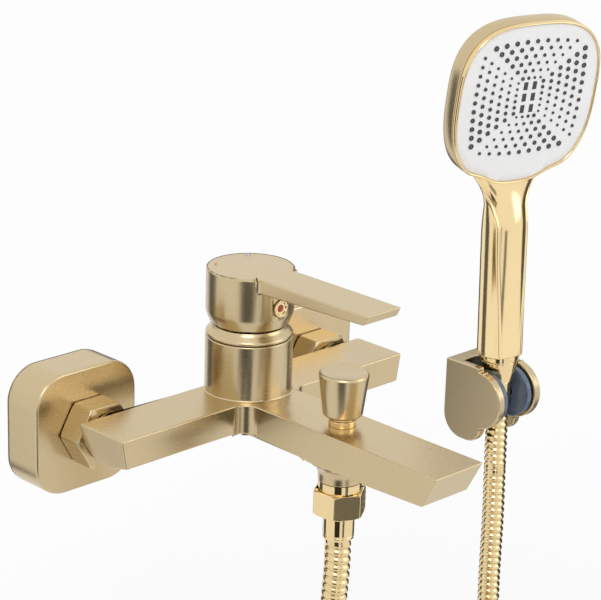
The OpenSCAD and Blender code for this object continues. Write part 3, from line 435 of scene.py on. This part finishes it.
class FAUCET_OT_finishes(bpy.types.Operator):
    """Make the materials and put them on the nodes that stay as they are"""

    bl_idname = "faucet.finishes"
    bl_label = "Finishes"

    def execute(self, context):
        look = context.scene.faucet_finish
        satin, polished = tuple(look.satin), tuple(look.polished)
        MATERIALS["satin_gold"] = metal(
            "satin_gold", satin, look.satin_roughness, 0.012, 25, (1, 1, 6))
        MATERIALS["polished_gold"] = metal(
            "polished_gold", polished, look.polished_roughness, 0.02, 50)
        # The handle's gold is the polished gold made 1.1 times lighter, a painted highlight for the bright
        # reflection on its panel, with a rougher gloss
        MATERIALS["plated_gold"] = metal(
            "plated_gold", shade(polished, 1.1), look.polished_roughness * 2.2, 0.02, 30)
        MATERIALS["hose_gold"] = metal(
            "hose_gold", shade(polished, 0.98), look.polished_roughness * 1.8, 0.04, 120)
        MATERIALS["raw_brass"] = metal("raw_brass", (0.72, 0.55, 0.28), 0.3, 0.08, 70, (1, 9, 1))
        MATERIALS["steel"] = metal("steel", (0.60, 0.60, 0.62), 0.28, 0.05, 80, (9, 1, 1))
        MATERIALS["black_rubber"] = plastic("black_rubber", (0.03, 0.03, 0.03), 0.55)
        MATERIALS["white_plastic"] = plastic("white_plastic", (0.78, 0.78, 0.76), 0.35)
        MATERIALS["ceramic"] = plastic("ceramic", (0.88, 0.87, 0.83), 0.15)
        MATERIALS["red_mark"] = plastic("red_mark", tuple(look.hot), 0.25)
        MATERIALS["blue_mark"] = plastic("blue_mark", tuple(look.cold), 0.25)
        MATERIALS["spray_white"] = plastic("spray_white", tuple(look.spray_white), 0.4, 0.01)
        MATERIALS["nozzle_grey"] = plastic("nozzle_grey", tuple(look.nozzle), 0.4)
        MATERIALS["nozzle_core"] = plastic("nozzle_core", (0.14, 0.14, 0.145), 0.45)
        MATERIALS["holder_blue"] = plastic("holder_blue", tuple(look.holder), 0.16, 0.03)
        for row in frame["record"]["subparts"]:
            mesh = frame["nodes"][row["node"]].data
            mesh.materials.clear()
            mesh.materials.append(MATERIALS[row["material_slot"]])
        return {"FINISHED"}


# ---- pieces ----

MACHINED_PIECES = [
    ("escutcheon_left", "wall_plate_left", "root", "satin_gold", "plate"),
    ("escutcheon_right", "wall_plate_right", "root", "satin_gold", "plate"),
    ("body", "mixer_body", "root", "satin_gold", "edge"),
    ("union_nut_left", "union_nut_ring_left", "root", "satin_gold", "crisp"),
    ("union_nut_right", "union_nut_ring_right", "root", "satin_gold", "crisp"),
    ("lever_handle", "lever", "lever", "satin_gold", "edge"),
    ("hose_nut", "hose_nut_hex", "root", "polished_gold", "crisp"),
    ("hose_tie", "coil_strap", "root", "black_rubber", "crisp"),
    ("bracket_body", "bracket_cheeks", "root", "satin_gold", "edge"),
    ("holder", "holder_drum", "holder", "holder_blue", "edge"),
]


class FAUCET_OT_machined(bpy.types.Operator):
    """Make the cast and machined pieces from the nodes, with their edges rounded"""

    bl_idname = "faucet.machined"
    bl_label = "Cast and machined pieces"

    def execute(self, context):
        sizes = context.scene.faucet_sizes
        edges = {"plate": sizes.plate_edge, "edge": sizes.edge, "crisp": sizes.crisp_edge}
        for node, name, body, slot, edge in MACHINED_PIECES:
            piece = machined(node, name, edges[edge])
            finish_piece(piece, body, slot, MATERIALS[slot], node)
        return {"FINISHED"}


class FAUCET_OT_dome(bpy.types.Operator):
    """Make the polished dome ring between the housing and the lever's hub"""

    bl_idname = "faucet.dome"
    bl_label = "Dome ring"

    def execute(self, context):
        low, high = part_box("dome_cover")
        top, rim = high.z, high.x
        seat = top - 0.0056
        profile = rounded([
            (rim - 0.0044, low.z), (rim - 0.0044, seat - 0.0002), (rim - 0.0001, seat),
            (rim - 0.0001, seat + 0.0013), (rim - 0.0026, top - 0.0016), (rim - 0.0033, top),
            (0.0128, top), (0.0128, top - 0.0014), (0.0169, top - 0.0014),
            (0.0169, low.z), (rim - 0.0044, low.z)], 0.0006)
        points, faces = turned(profile, HOUSING_AXIS, steps=96)
        finish_piece(add_mesh("dome_ring", points, faces), "root", "satin_gold",
                     MATERIALS["satin_gold"], "dome_cover")
        return {"FINISHED"}


class FAUCET_OT_plug(bpy.types.Operator):
    """Make the screw plug on the hub: a polished ring with a red index in its middle"""

    bl_idname = "faucet.plug"
    bl_label = "Plug"

    def execute(self, context):
        low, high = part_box("handle_plug")
        centre = (low + high) / 2
        radius = (high.z - low.z) / 2
        length = high.y - low.y
        base = (centre.x, high.y, centre.z)
        face = length - 0.0006
        well = length - 0.0012
        ring = rounded([
            (0, 0), (radius, 0), (radius, length), (radius - 0.0009, length),
            (radius - 0.0013, face), (0.0018, face), (0.0018, well), (0, well)], 0.00022)
        points, faces = turned(ring, base, (0, -1, 0), 48)
        finish_piece(add_mesh("plug_ring", points, faces), "lever", "polished_gold",
                     MATERIALS["polished_gold"], "handle_plug")
        index = rounded([
            (0, face - 0.0005), (0.0017, face - 0.0005), (0.0017, face + 0.0001),
            (0, face + 0.0003)], 0.0002)
        points, faces = turned(index, base, (0, -1, 0), 32)
        finish_piece(add_mesh("plug_dot", points, faces), "lever", "red_mark",
                     MATERIALS["red_mark"], "plug_index")
        return {"FINISHED"}


class FAUCET_OT_diverter(bpy.types.Operator):
    """Make the pull-up knob and the polished collar under it"""

    bl_idname = "faucet.diverter"
    bl_label = "Diverter"

    def execute(self, context):
        base, top = KNOB_LOW.z, KNOB_HIGH.z
        wide = (KNOB_HIGH.x - KNOB_LOW.x) / 2
        knob = rounded([
            (0.0026, base), (0.0082, base), (0.0095, base + 0.0012), (wide, top - 0.0012),
            (wide - 0.0009, top), (wide - 0.0026, top - 0.0002), (0, top - 0.0012)], 0.0006, 5)
        knob = np.vstack([[(0, base)], knob])
        points, faces = turned(knob, (KNOB_AXIS.x, KNOB_AXIS.y, 0), steps=96)
        finish_piece(add_mesh("knob", points, faces), "diverter", "satin_gold",
                     MATERIALS["satin_gold"], "diverter_knob")
        low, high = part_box("diverter_gland")
        outer = (high.x - low.x) / 2
        collar = rounded([
            (0.0026, low.z), (0.0049, low.z), (0.0049, SPOUT_TOP), (outer, SPOUT_TOP),
            (outer, high.z - 0.0014), (outer - 0.0008, high.z - 0.0011),
            (outer - 0.0010, high.z), (0.0026, high.z)], 0.0003)
        collar = np.vstack([collar, collar[:1]])
        points, faces = turned(collar, (KNOB_AXIS.x, KNOB_AXIS.y, 0), steps=72)
        finish_piece(add_mesh("gland_collar", points, faces), "root", "polished_gold",
                     MATERIALS["polished_gold"], "diverter_gland")
        return {"FINISHED"}


class FAUCET_OT_ferrules(bpy.types.Operator):
    """Make the polished ferrules on the two ends of the hose and the cone nut of the hand shower"""

    bl_idname = "faucet.ferrules"
    bl_label = "Ferrules"

    def execute(self, context):
        bottom, top = LOWER_FERRULE_LOW.z, LOWER_FERRULE_HIGH.z
        nut_end = NUT_LOW.z
        lower = rounded([
            (0.0042, top), (0.0094, top), (0.0094, nut_end + 0.0026), (0.0056, nut_end + 0.0026),
            (0.0056, nut_end - 0.0001), (0.0073, nut_end - 0.0001), (0.0076, nut_end - 0.0008),
            (0.0076, bottom + 0.0026), (0.0073, bottom + 0.0022), (0.0076, bottom + 0.0017),
            (0.0074, bottom), (0.0042, bottom), (0.0042, top)], 0.00035)
        points, faces = turned(lower, (NUT_AXIS.x, NUT_AXIS.y, 0), steps=64)
        finish_piece(add_mesh("ferrule_lower", points, faces), "root", "polished_gold",
                     MATERIALS["polished_gold"], "hose_ferrule_lower")
        upper = rounded([
            (0.003, 0.0108), (0.0080, 0.0108), (0.0080, 0.0084), (0.0056, 0.0084),
            (0.0056, 0.0057), (0.0067, 0.0057), (0.0070, 0.0050), (0.0070, -0.0036),
            (0.0067, -0.0040), (0.0070, -0.0045), (0.0068, -0.0062), (0.003, -0.0062),
            (0.003, 0.0108)], 0.00035)
        seat = PIVOT + NUT_RAISE * HANDLE_AXIS
        points, faces = turned(upper, seat, HANDLE_AXIS, 64)
        finish_piece(add_mesh("ferrule_upper", points, faces), "hose_end", "polished_gold",
                     MATERIALS["polished_gold"], "hose_ferrule_upper")
        cone = rounded([
            (0.0059, 0.006), (0.0085, 0.006), (0.01045, 0.0174), (0.0105, 0.0180),
            (0.01035, 0.0184), (0.0107, 0.0188), (0.01075, 0.0219), (0.00843, 0.0219),
            (0.00843, 0.0084), (0.0059, 0.0084), (0.0059, 0.006)], 0.0003)
        points, faces = turned(cone, seat, HANDLE_AXIS, 72)
        finish_piece(add_mesh("cone_nut_ring", points, faces), "handset", "polished_gold",
                     MATERIALS["polished_gold"], "cone_nut")
        return {"FINISHED"}


def corrugated(line, radius, pitch, groove, sides):
    """A tube along a line, wound from a strip.

    Its radius is R - groove * |cos(pi * phase)|^3, where the phase grows by 1 with each turn of
    the angle and with each pitch along the line. It is smooth at both ends.
    """
    along = np.r_[0, np.cumsum(np.linalg.norm(np.diff(line, axis=0), axis=1))]
    way = np.gradient(line, along, axis=0)
    way /= np.linalg.norm(way, axis=1)[:, None]
    side = np.cross((0.0, 1.0, 0.0), way)
    side /= np.linalg.norm(side, axis=1)[:, None]
    top = np.cross(way, side)
    angle = np.linspace(0, 2 * math.pi, sides, endpoint=False)
    phase = (along[:, None] / pitch + angle[None] / (2 * math.pi)) % 1.0
    r = radius - groove * np.abs(np.cos(math.pi * phase))**3
    fade = np.clip(np.minimum(along, along[-1] - along) / pitch, 0, 1)[:, None]
    r = radius * 0.97 * (1 - fade) + r * fade
    rings = line[:, None] + r[..., None] * (
        np.cos(angle)[None, :, None] * side[:, None] + np.sin(angle)[None, :, None] * top[:, None])
    faces = [tuple(f) for f in grid_faces(len(line), sides)]
    last = (len(line) - 1) * sides
    faces.append(tuple(range(sides)))
    faces.append(tuple(last + k for k in reversed(range(sides))))
    return rings.reshape(-1, 3), faces


def coil_line(spacing):
    """The coil's helix: turns in the XZ plane from the left side down, one beside another along Y."""
    angle = np.linspace(0, COIL_TURNS * 2 * math.pi, 240)
    line = np.stack([
        COIL_CENTRE[0] - COIL_RADIUS * np.cos(angle),
        COIL_CENTRE[1] + COIL_WIDTH * angle / angle[-1],
        COIL_CENTRE[2] - COIL_RADIUS * np.sin(angle)], axis=1)
    return resample(line, spacing)


class FAUCET_OT_hose(bpy.types.Operator):
    """Make the strip-wound hose, which drops from the mixer to a tied coil and rises again"""

    bl_idname = "faucet.hose"
    bl_label = "Hose"

    def execute(self, context):
        sizes = context.scene.faucet_sizes
        pitch = sizes.hose_pitch
        step = pitch / RINGS_PER_TURN
        radius = sizes.hose_diameter / 2
        drop, coil, rise = spline(DROP_POINTS, step), coil_line(step), spline(RISE_POINTS, step)
        line = resample(np.vstack([drop, coil[1:-1], rise]), step)
        points, faces = corrugated(line, radius, pitch, sizes.hose_groove, 20)
        hose = add_mesh("hose_main", points, faces, 180)
        hose.data.materials.append(MATERIALS["hose_gold"])
        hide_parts("hose_drop", "hose_coil", "hose_rise")
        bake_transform(hose)
        line = spline(TOP_POINTS, step)
        points, faces = corrugated(line, radius, pitch, sizes.hose_groove, 24)
        stub = add_mesh("hose_upper", points, faces, 180)
        stub.data.materials.append(MATERIALS["hose_gold"])
        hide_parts("hose_top")
        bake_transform(stub)
        return {"FINISHED"}


# ---- hand shower ----

# The head's centre above the holder's pivot and in front of the handle's axis, and its lean
HEAD_DISTANCE = 0.177
HEAD_FORWARD = 0.002
HEAD_LEAN = math.radians(12)

# Turn of the hand shower in its holder at rest
REST_TURN = math.radians(-15)

# The head's outline: its raised middle, its upper half's share of the height and the powers of
# its two curves, then the pinch beside the tongue over the handle
HEAD_UP = 0.0045
HEAD_SHARE = 0.455
TOP_POWER = 3.0
FOOT_POWER = 2.7
TONGUE_PINCH = 0.003
TONGUE_HALF = 0.023
TONGUE_SOFT = 0.009

# The handle: its heights above the pivot, its radius and the step of its rings at a crease
HANDLE_FOOT = 0.025
NECK_START = 0.100
HANDLE_TOP = 0.1355
HANDLE_RADIUS = 0.013
CREASE_STEP = math.radians(2.4)

# Height of a nozzle, and where its foot stands behind the head's thickness
NOZZLE_HEIGHT = 0.0006
FACE_SETBACK = 0.0008


def handset_frame():
    """Matrix from the hand shower's own frame, with +Z along the handle, to the row's frame."""
    return (Matrix.Translation(PIVOT) @ Matrix.Rotation(HANDLE_LEAN, 4, "X")
            @ Matrix.Rotation(REST_TURN, 4, "Z"))


def head_frame():
    """Matrix from the head's frame, with -Y out of the spray plate, to the row's frame."""
    return (handset_frame() @ Matrix.Translation((0, -HEAD_FORWARD, HEAD_DISTANCE))
            @ Matrix.Rotation(HEAD_LEAN, 4, "X"))


def placed(points, matrix):
    """Points moved by a matrix."""
    m = np.array(matrix)
    return np.asarray(points, float).reshape(-1, 3) @ m[:3, :3].T + m[:3, 3]


def head_outline(width, height, count=144):
    """Points (x, z) of the head's outline, |x/a|^n + |z/b|^n = 1.

    The lower half is longer and rounder, and its edge is pinched beside the tongue.
    """
    a = np.linspace(0, 2 * math.pi, count, endpoint=False)
    up = np.sin(a) > 0
    n = np.where(up, TOP_POWER, FOOT_POWER)
    half = height * np.where(up, HEAD_SHARE, 1 - HEAD_SHARE)
    x = width / 2 * np.sign(np.cos(a)) * np.abs(np.cos(a))**(2 / n)
    z = half * np.sign(np.sin(a)) * np.abs(np.sin(a))**(2 / n)
    beside = (np.abs(x) - TONGUE_HALF) / TONGUE_SOFT
    pinch = np.where(up, 0, TONGUE_PINCH * np.exp(-beside**2))
    return np.stack([x, HEAD_UP + z + pinch * np.abs(np.sin(a))], axis=1)


def lofted(sections):
    """A skin through a stack of closed rings, with a fan at each end."""
    rows = np.array(sections)
    count, columns = rows.shape[:2]
    ends = np.array([rows[0].mean(axis=0), rows[-1].mean(axis=0)])
    points = np.vstack([rows.reshape(-1, 3), ends])
    faces = [tuple(f) for f in grid_faces(count, columns)]
    first, last = count * columns, count * columns + 1
    base = (count - 1) * columns
    faces += [(first, (k + 1) % columns, k) for k in range(columns)]
    faces += [(last, base + k, base + (k + 1) % columns) for k in range(columns)]
    return points, faces


class FAUCET_OT_head(bpy.types.Operator):
    """Make the head's case, its polished rim and the spray plate"""

    bl_idname = "faucet.head"
    bl_label = "Head"

    def execute(self, context):
        sizes = context.scene.faucet_sizes
        width, height = sizes.head_width, sizes.head_height
        thick, rim = sizes.head_thickness, sizes.head_rim
        matrix = head_frame()

        def stack(steps):
            """Rings of the head's outline, one for each inset and depth."""
            rings = []
            for inset, depth in steps:
                edge = head_outline(width - 2 * inset, height - 2 * inset)
                ring = np.stack([edge[:, 0], np.full(len(edge), -depth), edge[:, 1]], axis=1)
                rings.append(placed(ring, matrix))
            return rings

        back = [(0.020, 0.0004), (0.008, 0.0005), (0.0030, 0.0009), (0.0010, 0.0020),
                (0.0002, 0.0034), (0, 0.005), (0, thick - 0.0042), (0.0003, thick - 0.0036),
                (0.0010, thick - 0.0034), (0.006, thick - 0.0034)]
        points, faces = lofted(stack(back))
        finish_piece(add_mesh("head_case", points, faces, 40), "handset", "plated_gold",
                     MATERIALS["satin_gold"])
        t = np.linspace(0, 2 * math.pi, 20, endpoint=False)
        half_w, half_d = rim / 2, 0.0017
        lip = [(half_w - half_w * math.cos(a), thick - half_d + half_d * math.sin(a)) for a in t]
        rows = np.array(stack(lip))
        faces = grid_faces(len(rows), rows.shape[1], closed_rows=True)
        finish_piece(add_mesh("head_rim", rows.reshape(-1, 3), faces, 60), "handset",
                     "plated_gold", MATERIALS["polished_gold"], "spray_bezel")
        gap = rim - 0.0001
        plate = [(0.030, thick - 0.0030), (gap, thick - 0.0030), (gap, thick - 0.0013),
                 (gap + 0.0003, thick - 0.0010), (gap + 0.004, thick - 0.0008),
                 (0.025, thick - 0.0007)]
        points, faces = lofted(stack(plate))
        finish_piece(add_mesh("spray_face", points, faces, 40), "handset", "spray_white",
                     MATERIALS["spray_white"], "spray_plate")
        return {"FINISHED"}


class FAUCET_OT_handle(bpy.types.Operator):
    """Make the hand shower's handle, with a front panel between two creases"""

    bl_idname = "faucet.handle"
    bl_label = "Handle"

    def execute(self, context):
        heights = np.r_[HANDLE_FOOT, HANDLE_FOOT + 0.0003, HANDLE_FOOT + 0.0010,
                        np.linspace(0.029, 0.094, 20), np.linspace(0.0955, HANDLE_TOP, 46)]
        rings = [placed(self.section(z), handset_frame()) for z in heights]
        points, faces = lofted(rings)
        finish_piece(add_mesh("handle", points, faces, 60), "handset", "plated_gold",
                     MATERIALS["plated_gold"], "handset_shell")
        return {"FINISHED"}

    def section(self, z):
        """A ring at height z: x = half * sin a and y = -depth * cos a.

        The panel between the creases is sunk and flat, and a lip stands along each crease.
        """
        rise = smooth((z - NECK_START) / 0.027)
        flare = np.clip((z - 0.112) / 0.019, 0, 1.3)
        half = HANDLE_RADIUS + 0.0085 * flare**1.8
        front = -HANDLE_RADIUS + 0.0062 * rise
        back = HANDLE_RADIUS - 0.0072 * smooth((z - 0.096) / 0.036)
        widening = 13 * smooth((z - HANDLE_FOOT) / 0.075)
        opening = 34 * smooth((z - NECK_START) / 0.030)
        crease = math.radians(35 + widening + opening)
        away = np.r_[
            np.linspace(0, crease - CREASE_STEP, 14),
            np.linspace(crease - 0.7 * CREASE_STEP, crease + 2 * CREASE_STEP, 9),
            np.linspace(crease + 3.5 * CREASE_STEP, math.pi, 26)]
        away = np.r_[away, 2 * math.pi - away[-2:0:-1]]
        near = np.minimum(away, 2 * math.pi - away)
        sunk = 0.0007 * (1 - smooth((near - crease + CREASE_STEP) / (1.4 * CREASE_STEP)))
        flat = 0.0009 * np.clip(1 - (near / crease)**2, 0, 1) * (1 - rise)
        lip = 0.00025 * np.exp(-((near - crease - 1.2 * CREASE_STEP) / CREASE_STEP)**2)
        ease = 0.0006 if z == HANDLE_FOOT else 0.0002 if z < HANDLE_FOOT + 0.0005 else 0
        inset = sunk + flat - lip + ease
        x = (half - inset) * np.sin(away)
        depth = np.where(np.cos(away) > 0, -front, back)
        y = -(depth - inset) * np.cos(away)
        return np.stack([x, y, np.full(len(x), z)], axis=1)


def ring_bumps(centres, radii, height, steps=10):
    """Many small nozzles at once: each is a collar with a dished mouth, turned round.

    The profile is given as (share of radius, share of height).
    """
    profile = np.array([(1.0, -0.6), (1.0, 0.55), (0.86, 1.0), (0.62, 1.0), (0.5, 0.35)])
    angle = np.linspace(0, 2 * math.pi, steps, endpoint=False)
    unit = np.stack([
        np.outer(profile[:, 0], np.cos(angle)),
        np.outer(profile[:, 1], np.ones(steps)),
        np.outer(profile[:, 0], np.sin(angle))], axis=-1)
    scale = np.stack([radii, np.full(len(radii), -height), radii], axis=1)
    points = centres[:, None, None] + unit[None] * scale[:, None, None]
    faces = grid_faces(len(profile), steps)
    per = len(profile) * steps
    every = (faces[None] + np.arange(len(centres))[:, None, None] * per).reshape(-1, 4)
    return points.reshape(-1, 3), every


def nozzle_places():
    """Places and radii of the nozzles, in metres, worked out in millimetres.

    There are four fans, whose rows bow and grow shorter inwards. The nozzles grow smaller along
    each row and from row to row.
    """
    places, radii = [], []
    for half in (0, math.pi):
        for row in range(6):
            for count, reach_along, reach, turn in (
                    (9 - row, 26.6 - 4.15 * row, 33 - 4.3 * row, 0.0),
                    (11 - row, 26 - 3.4 * row, 35 - 5.3 * row, math.pi / 2)):
                share = np.linspace(-1, 1, count)
                x = share * reach_along
                z = reach - 0.003 * x**2
                a = half + turn
                places.append(np.stack([
                    x * math.cos(a) + z * math.sin(a), -x * math.sin(a) + z * math.cos(a)], axis=1))
                radii.append((1.3 - 0.33 * share) * (1 - 0.055 * row))
    return np.vstack(places) / 1000, np.concatenate(radii) / 1000


class FAUCET_OT_nozzles(bpy.types.Operator):
    """Make the round nozzles and the six slot nozzles"""

    bl_idname = "faucet.nozzles"
    bl_label = "Nozzles"

    def execute(self, context):
        thick = context.scene.faucet_sizes.head_thickness
        flat, radii = nozzle_places()
        face = -(thick - FACE_SETBACK)
        centres = np.stack([flat[:, 0], np.full(len(flat), face), flat[:, 1] + HEAD_UP], axis=1)
        points, faces = ring_bumps(centres, radii, NOZZLE_HEIGHT)
        rims = add_mesh("nozzle_rims", placed(points, head_frame()), faces, 50)
        finish_piece(rims, "handset", "nozzle_grey", MATERIALS["nozzle_grey"], "nozzles")
        steps = 8
        a = np.linspace(0, 2 * math.pi, steps, endpoint=False)
        disc = np.stack([np.cos(a), np.zeros(steps), np.sin(a)], axis=1)
        cap = centres[:, None] + disc[None] * (radii * 0.55)[:, None, None]
        cap[..., 1] -= 0.00022
        faces = np.arange(len(centres) * steps).reshape(-1, steps)
        cores = add_mesh("nozzle_mouths", placed(cap, head_frame()), faces, 50)
        finish_piece(cores, "handset", "nozzle_grey", MATERIALS["nozzle_core"])
        piece = machined("slot_nozzles", "slot_rims", 0.0003, 2)
        finish_piece(piece, "handset", "nozzle_grey", MATERIALS["nozzle_grey"], "slot_nozzles")
        return {"FINISHED"}


# ---- stage ----

# Floor and the cards' lower edges, below the object's lowest point
FLOOR_DROP = 0.12
CARD_DROP = 0.11

# Cards round the mixer: start and end angle in degrees, height of the top edge, grey value
CARDS = [
    (92, 124, 0.10, 0.12), (200, 236, -0.02, 0.03), (254, 268, -0.08, 0.25), (345, 420, 0.10, 0.10)]
CARD_REACH = 0.62
CARD_COLUMNS = 9

# Bands of the room's light, from straight down to straight up: position and grey value
ROOM_BANDS = [(0.0, 0.55), (0.38, 0.50), (0.48, 0.22), (0.53, 0.25), (0.60, 0.75), (0.80, 1.0),
              (1.0, 1.1)]

# The point that the lamps are aimed at
LAMP_AIM = Vector((0.05, -0.08, 0))


def seen_rays(tree):
    """1 for the rays that show the background: from the camera, from a mirror or through glass."""
    rays = tree.nodes.new("ShaderNodeLightPath")
    first = tree.nodes.new("ShaderNodeMath")
    first.operation = "MAXIMUM"
    second = tree.nodes.new("ShaderNodeMath")
    second.operation = "MAXIMUM"
    tree.links.new(rays.outputs["Is Camera Ray"], first.inputs[0])
    tree.links.new(rays.outputs["Is Glossy Ray"], first.inputs[1])
    tree.links.new(first.outputs["Value"], second.inputs[0])
    tree.links.new(rays.outputs["Is Transmission Ray"], second.inputs[1])
    return second.outputs["Value"]


class FAUCET_OT_stage(bpy.types.Operator):
    """Set the camera, the pale floor, the world and the lamps"""

    bl_idname = "faucet.stage"
    bl_label = "Stage"

    def execute(self, context):
        stage = context.scene.faucet_stage
        az, el = stage.azimuth, stage.elevation
        back = Vector((math.sin(az) * math.cos(el), -math.cos(az) * math.cos(el), math.sin(el)))
        right = Vector((math.cos(az), math.sin(az), 0))
        up = back.cross(right)
        turn = Matrix.Rotation(stage.roll, 3, back)
        axes = Matrix((turn @ right, turn @ up, back)).transposed()
        camera = bpy.data.objects.new("Camera", bpy.data.cameras.new("Camera"))
        camera.matrix_world = Matrix.Translation(stage.place) @ axes.to_4x4()
        camera.data.lens = stage.lens
        camera.data.sensor_width = 36
        camera.data.clip_start = 0.05
        camera.data.clip_end = 50
        context.scene.collection.objects.link(camera)
        context.scene.camera = camera
        self.floor()
        self.cards()
        self.world(context, stage.world_light)
        for name, place, size, power in (
                ("Key", (-1.6, -1.5, 1.9), 1.2, stage.key_light),
                ("Fill", (1.5, -1.9, 0.9), 1.4, stage.key_light * 0.5)):
            lamp = bpy.data.objects.new(name, bpy.data.lights.new(name, "AREA"))
            lamp.data.size = size
            lamp.data.energy = power
            lamp.location = place
            aim = LAMP_AIM - Vector(place)
            lamp.rotation_euler = aim.to_track_quat("-Z", "Y").to_euler()
            context.scene.collection.objects.link(lamp)
        context.scene.view_settings.view_transform = "Standard"
        return {"FINISHED"}

    def floor(self):
        """A pale floor below the coil, nearly white to the camera and in reflections."""
        low = CAD_BOX[0].z - FLOOR_DROP
        corners = [(-4, -4, low), (4, -4, low), (4, 4, low), (-4, 4, low)]
        mesh = bpy.data.meshes.new("Floor")
        mesh.from_pydata(corners, [], [(0, 1, 2, 3)])
        floor = bpy.data.objects.new("Floor", mesh)
        material, tree, shader, place = node_material("floor")
        grain = noise(tree, place, 3)
        tree.links.new(ramp(tree, grain, (0.86, 0.86, 0.86), (0.90, 0.90, 0.90)),
                       shader.inputs["Base Color"])
        shader.inputs["Roughness"].default_value = 0.8
        glow = tree.nodes.new("ShaderNodeEmission")
        mix = tree.nodes.new("ShaderNodeMixShader")
        share = tree.nodes.new("ShaderNodeMath")
        share.operation = "MULTIPLY"
        share.inputs[1].default_value = 0.85
        tree.links.new(seen_rays(tree), share.inputs[0])
        tree.links.new(share.outputs["Value"], mix.inputs["Fac"])
        tree.links.new(shader.outputs["BSDF"], mix.inputs[1])
        tree.links.new(glow.outputs["Emission"], mix.inputs[2])
        tree.links.new(mix.outputs["Shader"], tree.nodes["Material Output"].inputs["Surface"])
        mesh.materials.append(material)
        bpy.context.scene.collection.objects.link(floor)

    def cards(self):
        """Grey cards round the mixer, hidden from the camera, that draw soft bands in the metal."""
        low = CAD_BOX[0].z - CARD_DROP
        n = CARD_COLUMNS
        for index, (start, end, top, value) in enumerate(CARDS):
            a = np.radians(np.linspace(start, end, n))
            ring = np.stack([CARD_REACH * np.cos(a), CARD_REACH * np.sin(a) - 0.08], axis=1)
            points = np.vstack([np.c_[ring, np.full(n, low)], np.c_[ring, np.full(n, top)]])
            faces = [(k, k + 1, k + n + 1, k + n) for k in range(n - 1)]
            mesh = bpy.data.meshes.new(f"Card_{index}")
            mesh.from_pydata(points.tolist(), [], faces)
            card = bpy.data.objects.new(f"Card_{index}", mesh)
            card.visible_camera = False
            mesh.materials.append(plastic(f"card_{index}", (value, value, value), 0.9))
            bpy.context.scene.collection.objects.link(card)

    def world(self, context, strength):
        """A world that is white to the camera and in reflections, and lights as a soft grey room.

        The room has a bright ceiling, pale walls and a darker band at the horizon.
        """
        world = bpy.data.worlds.new("Studio")
        context.scene.world = world
        world.use_nodes = True
        tree = world.node_tree
        tree.nodes.clear()
        place = tree.nodes.new("ShaderNodeTexCoord")
        split = tree.nodes.new("ShaderNodeSeparateXYZ")
        tree.links.new(place.outputs["Generated"], split.inputs["Vector"])
        heights = tree.nodes.new("ShaderNodeMapRange")
        heights.inputs["From Min"].default_value = -1
        heights.inputs["From Max"].default_value = 1
        tree.links.new(split.outputs["Z"], heights.inputs["Value"])
        bands = tree.nodes.new("ShaderNodeValToRGB")
        elements = bands.color_ramp.elements
        for element, (position, value) in zip(elements, (ROOM_BANDS[0], ROOM_BANDS[-1])):
            element.position = position
            element.color = (value, value, value, 1)
        for position, value in ROOM_BANDS[1:-1]:
            elements.new(position).color = (value, value, value, 1)
        tree.links.new(heights.outputs["Result"], bands.inputs["Fac"])
        room = tree.nodes.new("ShaderNodeBackground")
        room.inputs["Strength"].default_value = strength
        tree.links.new(bands.outputs["Color"], room.inputs["Color"])
        white = tree.nodes.new("ShaderNodeBackground")
        white.inputs["Color"].default_value = (1, 1, 1, 1)
        mix = tree.nodes.new("ShaderNodeMixShader")
        out = tree.nodes.new("ShaderNodeOutputWorld")
        tree.links.new(seen_rays(tree), mix.inputs["Fac"])
        tree.links.new(room.outputs["Background"], mix.inputs[1])
        tree.links.new(white.outputs["Background"], mix.inputs[2])
        tree.links.new(mix.outputs["Shader"], out.inputs["Surface"])


STEPS = [FAUCET_OT_stage, FAUCET_OT_finishes, FAUCET_OT_machined, FAUCET_OT_dome,
         FAUCET_OT_plug, FAUCET_OT_diverter, FAUCET_OT_ferrules, FAUCET_OT_hose,
         FAUCET_OT_head, FAUCET_OT_handle, FAUCET_OT_nozzles]


class FAUCET_PT_panel(bpy.types.Panel):
    """Lists the faucet's sizes, finishes and steps"""

    bl_label = "Bath faucet"
    bl_idname = "FAUCET_PT_panel"
    bl_space_type = "VIEW_3D"
    bl_region_type = "UI"
    bl_category = "Faucet"

    def draw(self, context):
        scene = context.scene
        for group in (scene.faucet_sizes, scene.faucet_finish, scene.faucet_stage):
            box = self.layout.box()
            for name in group.bl_rna.properties.keys():
                if name not in ("rna_type", "name"):
                    box.prop(group, name)
        for step in STEPS:
            self.layout.operator(step.bl_idname)


GROUPS = {"faucet_sizes": FaucetSizes, "faucet_finish": FaucetFinish, "faucet_stage": FaucetStage}


def register():
    """Registers the property groups, the operators and the panel."""
    for cls in (*GROUPS.values(), *STEPS, FAUCET_PT_panel):
        bpy.utils.register_class(cls)
    for name, group in GROUPS.items():
        setattr(bpy.types.Scene, name, PointerProperty(type=group))


def unregister():
    """Takes them away again."""
    for name in GROUPS:
        delattr(bpy.types.Scene, name)
    for cls in (FAUCET_PT_panel, *reversed(STEPS), *GROUPS.values()):
        bpy.utils.unregister_class(cls)


def main():
    """Builds everything in order."""
    register()
    for step in STEPS:
        group, name = step.bl_idname.split(".")
        getattr(getattr(bpy.ops, group), name)()


if __name__ == "__main__":
    main()
